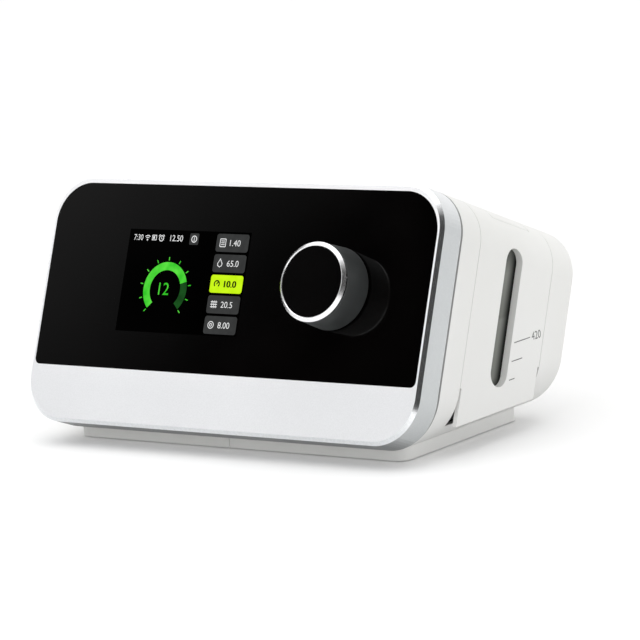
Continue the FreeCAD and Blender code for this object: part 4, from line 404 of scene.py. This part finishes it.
looks = {
    "case_white": case_plastic("case_white"),
    "bezel_silver": silver_paint("bezel_silver"),
    "window_black": black_gloss("window_black", 1, 0.22),
    "display_glass": black_gloss("display_glass", 0, 0.02),
    "dark_plastic": moulded("dark_plastic", (40, 41, 42), (50, 51, 52), 0.5),
    "grey_plastic": moulded("grey_plastic", (128, 130, 132), (140, 142, 144), 0.5),
    "light_plastic": moulded("light_plastic", (214, 215, 214), (224, 225, 224), 0.45),
    "knob_grey": barrel("knob_grey"),
    "knob_chrome": chrome("knob_chrome"),
    "knob_gloss": black_gloss("knob_gloss", 5, 0.3),
    "seal_rubber": moulded("seal_rubber", (38, 39, 40), (48, 49, 50), 0.7),
    "grey_rubber": moulded("grey_rubber", (96, 98, 100), (110, 112, 114), 0.75),
    "steel": metal("steel", (176, 178, 180), (205, 207, 209), 0.32, (1.0, 8.0, 8.0)),
    "aluminium": metal("aluminium", (190, 192, 194), (214, 215, 217), 0.38, (8.0, 1.0, 8.0)),
    "brass": metal("brass", (176, 140, 72), (206, 170, 98), 0.3, (8.0, 8.0, 1.0)),
    "board_green": board("board_green"),
    "chip_black": moulded("chip_black", (26, 27, 28), (38, 39, 40), 0.55, 3000.0),
    "foam": cellular("foam", (46, 47, 49), (92, 94, 96), 900.0, 0.0004),
    "filter_fabric": felt("filter_fabric"),
    "tank_clear": clear_plastic("tank_clear", (222, 228, 230), (236, 240, 241), 0.92, 0.03),
    "lens_smoke": lens("lens_smoke"),
}
for name, node in nodes.items():
    node.data.materials.clear()
    node.data.materials.append(looks[slot_of[name]])


# ---------------------------------------------------------------- flat shapes on the screen and the panel
def piece(name, faces, put, material, body):
    """One mesh of flat shapes. Each is a list of (u, v) outlines in mm, which put() sets in the row frame."""
    vertices, polygons = [], []
    for outline in faces:
        start = len(vertices)
        vertices += [put(u, v) for u, v in outline]
        polygons.append(list(range(start, start + len(outline))))
    mesh = bpy.data.meshes.new(name)
    mesh.from_pydata(vertices, [], polygons)
    mesh.materials.append(material)
    made = put_in_scene(name, mesh)
    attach(made, body)


def rounded(x0, x1, y0, y1, radius, steps=6):
    """Outline of a rectangle with rounded corners."""
    outline = []
    for cx, cy, start in ((x1 - radius, y1 - radius, 0), (x0 + radius, y1 - radius, 90),
                          (x0 + radius, y0 + radius, 180), (x1 - radius, y0 + radius, 270)):
        outline += [(cx + radius * math.cos(math.radians(start + 90 * i / steps)),
                     cy + radius * math.sin(math.radians(start + 90 * i / steps))) for i in range(steps + 1)]
    return outline


def arc(cx, cy, inner, outer, start, end, steps):
    """Band between two radii, as quads, angles in degrees anticlockwise from the right."""
    turns = [math.radians(start + (end - start) * i / steps) for i in range(steps + 1)]
    inside = [(cx + inner * math.cos(turn), cy + inner * math.sin(turn)) for turn in turns]
    outside = [(cx + outer * math.cos(turn), cy + outer * math.sin(turn)) for turn in turns]
    return [[inside[i], outside[i], outside[i + 1], inside[i + 1]] for i in range(steps)]


def line(points, width):
    """A stroke through points, as quads."""
    quads = []
    for (x0, y0), (x1, y1) in zip(points, points[1:]):
        length = math.hypot(x1 - x0, y1 - y0)
        dx, dy = (x1 - x0) / length * width / 2, (y1 - y0) / length * width / 2
        quads.append([(x0 - dx + dy, y0 - dy - dx), (x1 + dx + dy, y1 + dy - dx),
                      (x1 + dx - dy, y1 + dy + dx), (x0 - dx - dy, y0 - dy + dx)])
    return quads


def closed_line(points, width):
    """A stroke through points and back to the first."""
    return line(points + points[:1], width)


def digits(text, x, y, height, squeeze):
    """Numerals as outlines, from the built-in font; x, y is the lower left corner."""
    curve = bpy.data.curves.new("numerals", "FONT")
    curve.body = text
    curve.size = 1.0
    holder = bpy.data.objects.new("numerals", curve)
    mesh = bpy.data.meshes.new_from_object(holder)
    points = [(vertex.co.x, vertex.co.y) for vertex in mesh.vertices]
    left = min(u for u, v in points)
    foot = min(v for u, v in points)
    scale = height / (max(v for u, v in points) - foot)
    shapes = [[(x + (points[i][0] - left) * scale * squeeze, y + (points[i][1] - foot) * scale)
               for i in polygon.vertices] for polygon in mesh.polygons]
    bpy.data.objects.remove(holder)
    bpy.data.curves.remove(curve)
    bpy.data.meshes.remove(mesh)
    return shapes


# ---------------------------------------------------------------- the screen
# in mm from its lower left corner
LAYER = 0.02                                     # from the glass to the flat marks, and from layer to layer
BUTTON_LEFT, BUTTON_RIGHT, BUTTON_TALL, BUTTON_PITCH = 53.7, 73.3, 8.75, 10.0
BUTTON_TOP_GAP, BUTTON_RADIUS = 0.15, 1.3
LIT_BUTTON = 2                                   # counted from the top, from 0
ICON_INSET, TEXT_INSET = 4.0, 8.3                # of an icon's middle and of the numerals in a button
STATUS_FOOT = 44.3                               # of the numerals in the top line
INFO_BUTTON = (37.0, 42.5, 42.9, 48.5)           # left, right, foot and top
GAUGE = (26.3, 20.6)
GAUGE_INNER, GAUGE_OUTER = 9.4, 13.4
GAUGE_START, GAUGE_LIT_END, GAUGE_END = 225, 18, -45
TICK_COUNT, TICK_INNER, TICK_OUTER = 11, 14.4, 15.6

grey_glow = glow("screen_grey", (50, 51, 51), (56, 57, 57))
lime_glow = glow("screen_lime", (196, 242, 8), (206, 250, 22))
white_glow = glow("screen_white", (226, 228, 228), (240, 240, 240), 900.0)
green_glow = glow("screen_green", (46, 196, 34), (92, 226, 66), 160.0)
deep_glow = glow("screen_deep_green", (10, 62, 16), (18, 84, 24), 160.0)
ink_glow = glow("screen_ink", (8, 12, 0), (12, 18, 0))


def screen_piece(name, faces, layer, material):
    """Lit shapes on one layer in front of the display glass."""
    left, foot = SCREEN_X - SCREEN_W / 2, CONTROL_HEIGHT - SCREEN_H / 2
    piece(name, faces, lambda u, v: on_face(left + u, WINDOW_SINK - LAYER * layer, foot + v), material,
          "chassis")


def signal_icon(x, y):
    dot = arc(x, y, 0.0, 0.45, 0, 360, 10)
    return dot + arc(x, y, 1.0, 1.4, 45, 135, 8) + arc(x, y, 1.9, 2.3, 45, 135, 8)


def card_icon(x, y):
    """A frame, partly filled; x, y is its lower left corner."""
    fill = [(x + 0.5, y + 0.5), (x + 1.6, y + 0.5), (x + 1.6, y + 1.8), (x + 0.5, y + 1.8)]
    return closed_line(rounded(x, x + 2.6, y, y + 2.3, 0.3), 0.35) + [fill]


def alarm_icon(x, y):
    rim = arc(x, y, 1.15, 1.55, 0, 360, 18)
    hands = line([(x, y + 0.8), (x, y - 0.1), (x + 0.6, y - 0.4)], 0.3)
    bells = [line([(x + side * 1.7, y + 1.1), (x + side * 1.1, y + 1.7)], 0.35) for side in (-1, 1)]
    return rim + hands + bells[0] + bells[1]


def info_icon(x, y):
    rim = arc(x, y, 1.3, 1.75, 0, 360, 20)
    return rim + line([(x, y - 0.8), (x, y + 0.1)], 0.4) + line([(x, y + 0.55), (x, y + 0.7)], 0.4)


def page_icon(x, y):
    strokes = closed_line(rounded(x - 1.7, x + 1.7, y - 1.9, y + 1.9, 0.5), 0.4)
    for row in (-0.9, 0.0, 0.9):
        strokes += line([(x - 0.9, y + row), (x + 0.9, y + row)], 0.35)
    return strokes


def drop_icon(x, y):
    outline = ((0.0, 2.1), (1.35, -0.1), (1.2, -1.1), (0.0, -1.8), (-1.2, -1.1), (-1.35, -0.1))
    return closed_line([(x + u, y + v) for u, v in outline], 0.4)


def grid_icon(x, y):
    strokes = []
    for step in (-1.2, 0.0, 1.2):
        strokes += line([(x - 1.7, y + step), (x + 1.7, y + step)], 0.45)
        strokes += line([(x + step, y - 1.7), (x + step, y + 1.7)], 0.3)
    return strokes


def rings_icon(x, y):
    return arc(x, y, 1.45, 1.85, 0, 360, 20) + arc(x, y, 0.5, 0.85, 0, 360, 14)


def dial_icon(x, y):
    return arc(x, y, 1.2, 1.85, -50, 230, 18) + line([(x, y), (x + 0.8, y + 0.9)], 0.6)


def button_low(number):
    return SCREEN_H - BUTTON_TOP_GAP - BUTTON_TALL - BUTTON_PITCH * number


def button(number):
    low = button_low(number)
    return rounded(BUTTON_LEFT, BUTTON_RIGHT, low, low + BUTTON_TALL, BUTTON_RADIUS)


def icon_place(number):
    return BUTTON_LEFT + ICON_INSET, button_low(number) + BUTTON_TALL / 2


plain_buttons = ((0, page_icon, "1.40"), (1, drop_icon, "65.0"),
                 (3, grid_icon, "20.5"), (4, rings_icon, "8.00"))
screen_piece("screen_buttons", [button(number) for number, icon, text in plain_buttons]
             + [rounded(*INFO_BUTTON, 0.6)], 1, grey_glow)
screen_piece("screen_button_lit", [button(LIT_BUTTON)], 1, lime_glow)

white = digits("7:30", 2.2, STATUS_FOOT, 2.8, 0.86) + digits("12.50", 24.9, STATUS_FOOT, 3.0, 0.92)
white += signal_icon(10.7, 44.6) + card_icon(13.6, 44.6) + alarm_icon(19.4, 45.5) + info_icon(39.75, 45.7)
for number, icon, text in plain_buttons:
    white += icon(*icon_place(number))
    white += digits(text, BUTTON_LEFT + TEXT_INSET, button_low(number) + 2.9, 3.0, 1.0)
screen_piece("screen_marks", white, 2, white_glow)

dark = dial_icon(*icon_place(LIT_BUTTON))
for shift in (0.0, 0.2, 0.4):                    # drawn three times, for bolder numerals
    dark += digits("10.0", BUTTON_LEFT + TEXT_INSET + shift, button_low(LIT_BUTTON) + 2.8, 3.2, 1.05)
screen_piece("screen_marks_dark", dark, 2, ink_glow)

# a dial of pressure with a lit arc
track = arc(*GAUGE, GAUGE_INNER, GAUGE_OUTER, GAUGE_END, GAUGE_START, 60)
screen_piece("screen_gauge_track", track, 1, deep_glow)
lit = arc(*GAUGE, GAUGE_INNER, GAUGE_OUTER, GAUGE_LIT_END, GAUGE_START, 48)
for number in range(TICK_COUNT):
    turn = math.radians(GAUGE_START + (GAUGE_END - GAUGE_START) * number / (TICK_COUNT - 1))
    lit += line([(GAUGE[0] + reach * math.cos(turn), GAUGE[1] + reach * math.sin(turn))
                 for reach in (TICK_INNER, TICK_OUTER)], 0.5)
lit += digits("12", 22.4, 17.8, 6.0, 0.95)
screen_piece("screen_gauge", lit, 2, green_glow)

# ---------------------------------------------------------------- level marks on the tank panel
LEVEL_LINES = ((44.2, 88.3, 101.8), (35.8, 85.0, 94.0), (27.45, 81.7, 86.4))  # height, front and rear end, mm
LINE_HALF = 0.22                                 # half the width of a line

ink = moulded("level_ink", (84, 85, 84), (100, 101, 100), 0.6)
panel_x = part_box("tank_panel")[1].x + LAYER * MM
marks = [[(front, height - LINE_HALF), (rear, height - LINE_HALF), (rear, height + LINE_HALF),
          (front, height + LINE_HALF)] for height, front, rear in LEVEL_LINES]
marks += digits("420", 103.2, 42.4, 3.9, 0.95)
piece("level_marks", marks, lambda y, z: Vector((panel_x, (face_y + y) * MM, z * MM)), ink,
      "tank")

# ---------------------------------------------------------------- floor and background
SQUARE = ((-1, -1), (1, -1), (1, 1), (-1, 1))
FLOOR_REACH = 30                                 # from the object to the floor's edges
FLOOR_TONE, FLOOR_TONE_SEEN = 0.66, 0.97         # as it lights the object, and as it is seen
FLOOR_GLOW_SEEN = 0.09
AMBIENT = 0.48


def seen_rays(tree):
    """1 for rays of the camera, of reflections and through glass, and 0 for the light on the object."""
    path = tree.nodes.new("ShaderNodeLightPath")
    seen = path.outputs["Is Camera Ray"]
    for kind in ("Is Glossy Ray", "Is Transmission Ray"):
        either = tree.nodes.new("ShaderNodeMath")
        either.operation = "MAXIMUM"
        tree.links.new(seen, either.inputs[0])
        tree.links.new(path.outputs[kind], either.inputs[1])
        seen = either.outputs[0]
    return seen


floor_mesh = bpy.data.meshes.new("floor")
floor_mesh.from_pydata([(FLOOR_REACH * x, FLOOR_REACH * y, 0) for x, y in SQUARE], [], [(0, 1, 2, 3)])
floor = put_in_scene("floor", floor_mesh)
paper = bpy.data.materials.new("paper")
paper.use_nodes = True
tree = paper.node_tree
tree.nodes.clear()
seen = seen_rays(tree)
tone = tree.nodes.new("ShaderNodeMix")
tone.data_type = "RGBA"
tone.inputs["A"].default_value = (FLOOR_TONE, FLOOR_TONE, FLOOR_TONE, 1)
tone.inputs["B"].default_value = (FLOOR_TONE_SEEN, FLOOR_TONE_SEEN, FLOOR_TONE_SEEN, 1)
tree.links.new(seen, tone.inputs["Factor"])
matt = tree.nodes.new("ShaderNodeBsdfDiffuse")
tree.links.new(tone.outputs["Result"], matt.inputs["Color"])
weight = tree.nodes.new("ShaderNodeMath")
weight.operation = "MULTIPLY"
weight.inputs[1].default_value = FLOOR_GLOW_SEEN
tree.links.new(seen, weight.inputs[0])
lift = tree.nodes.new("ShaderNodeEmission")
tree.links.new(weight.outputs[0], lift.inputs["Strength"])
both = tree.nodes.new("ShaderNodeAddShader")
tree.links.new(matt.outputs[0], both.inputs[0])
tree.links.new(lift.outputs[0], both.inputs[1])
tree.links.new(both.outputs[0], tree.nodes.new("ShaderNodeOutputMaterial").inputs["Surface"])
floor_mesh.materials.append(paper)

world = bpy.data.worlds.new("studio")
world.use_nodes = True
bpy.context.scene.world = world
tree = world.node_tree
tree.nodes.clear()
shown = tree.nodes.new("ShaderNodeMixShader")
tree.links.new(seen_rays(tree), shown.inputs["Fac"])
for socket, strength in ((1, AMBIENT), (2, 1.0)):
    sky = tree.nodes.new("ShaderNodeBackground")
    sky.inputs["Color"].default_value = (1, 1, 1, 1)
    sky.inputs["Strength"].default_value = strength
    tree.links.new(sky.outputs[0], shown.inputs[socket])
tree.links.new(shown.outputs[0], tree.nodes.new("ShaderNodeOutputWorld").inputs["Surface"])


# ---------------------------------------------------------------- lamps
LIT_MIDDLE = Vector((0, 0, 0.06))                # the place on the object that the near lamps look at


def sun(name, direction, energy, angle):
    """Soft lamp that shines along a direction. Its angle is in degrees."""
    data = bpy.data.lights.new(name, "SUN")
    data.energy = energy
    data.angle = math.radians(angle)
    lamp = put_in_scene(name, data)
    lamp.rotation_mode = "QUATERNION"
    lamp.rotation_quaternion = Vector(direction).to_track_quat("-Z", "Y")


def softbox(name, place, size, energy):
    """Square lamp near the object, turned to its middle, which reflections don't show."""
    data = bpy.data.lights.new(name, "AREA")
    data.energy = energy
    data.size = size
    lamp = put_in_scene(name, data)
    lamp.location = place
    lamp.rotation_mode = "QUATERNION"
    lamp.rotation_quaternion = (LIT_MIDDLE - Vector(place)).to_track_quat("-Z", "Y")
    lamp.visible_glossy = False


sun("key", (0.15, 0.05, -1.0), energy=1.37, angle=90)
sun("rear", (0.3, -0.9, -0.4), energy=0.3, angle=90)
softbox("side", (0.46, 0.2, 0.05), size=0.25, energy=0.5)
softbox("fill", (0.42, -0.42, 0.08), size=0.25, energy=0.38)
softbox("front", (-0.07, -0.36, 0.17), size=0.2, energy=0.27)


# ---------------------------------------------------------------- graded studio cards
FACE_MIDDLE = Vector((0, -0.06, 0.06))           # the place on the object that the cards stand around


def flag(name, direction, away, wide, tall, slope, stops):
    """Dark card that only reflections show, square to its direction; wide and tall are half its sides.

    Its tone runs along slope, given across and up the card, through stops of a distance from its middle
    and a level.
    """
    to = Vector(direction).normalized()
    across = to.cross(Vector((0, 0, 1))).normalized()
    above = across.cross(to)
    middle = FACE_MIDDLE + to * away
    maker = Maker(name, Roughness=0.9, Specular_IOR_Level=0.0, Base_Color=(0, 0, 0, 1), Emission_Strength=1.0)
    uphill = across * slope[0] + above * slope[1]
    start = middle.dot(uphill)
    first, last = stops[0][0], stops[-1][0]
    share = maker.share(maker.along(maker.place, uphill), start + first, start + last)
    levels = [((reach - first) / (last - first), level) for reach, level in stops]
    maker.link(maker.greys(share, levels), maker.shader.inputs["Emission Color"])
    mesh = bpy.data.meshes.new(name)
    corners = [middle + across * wide * u + above * tall * v for u, v in SQUARE]
    mesh.from_pydata(corners, [], [(0, 1, 2, 3)])
    mesh.materials.append(maker.material)
    card = put_in_scene(name, mesh)
    card.visible_camera = card.visible_diffuse = card.visible_shadow = card.visible_transmission = False


flag("flag_left", (-0.615, -0.685, 0.41), away=4.0, wide=0.9, tall=0.75, slope=(1.155, 0.57),
     stops=((-0.025, 0.0), (0.6, 0.725)))
flag("flag_right", (0.783, -0.47, 0.62), away=1.0, wide=0.4, tall=0.74, slope=(0.0, 1.0),
     stops=((-0.74, 0.2), (-0.6, 0.05), (0.2, 0.05), (0.7, 0.9)))

bpy.context.scene.view_settings.view_transform = "Standard"
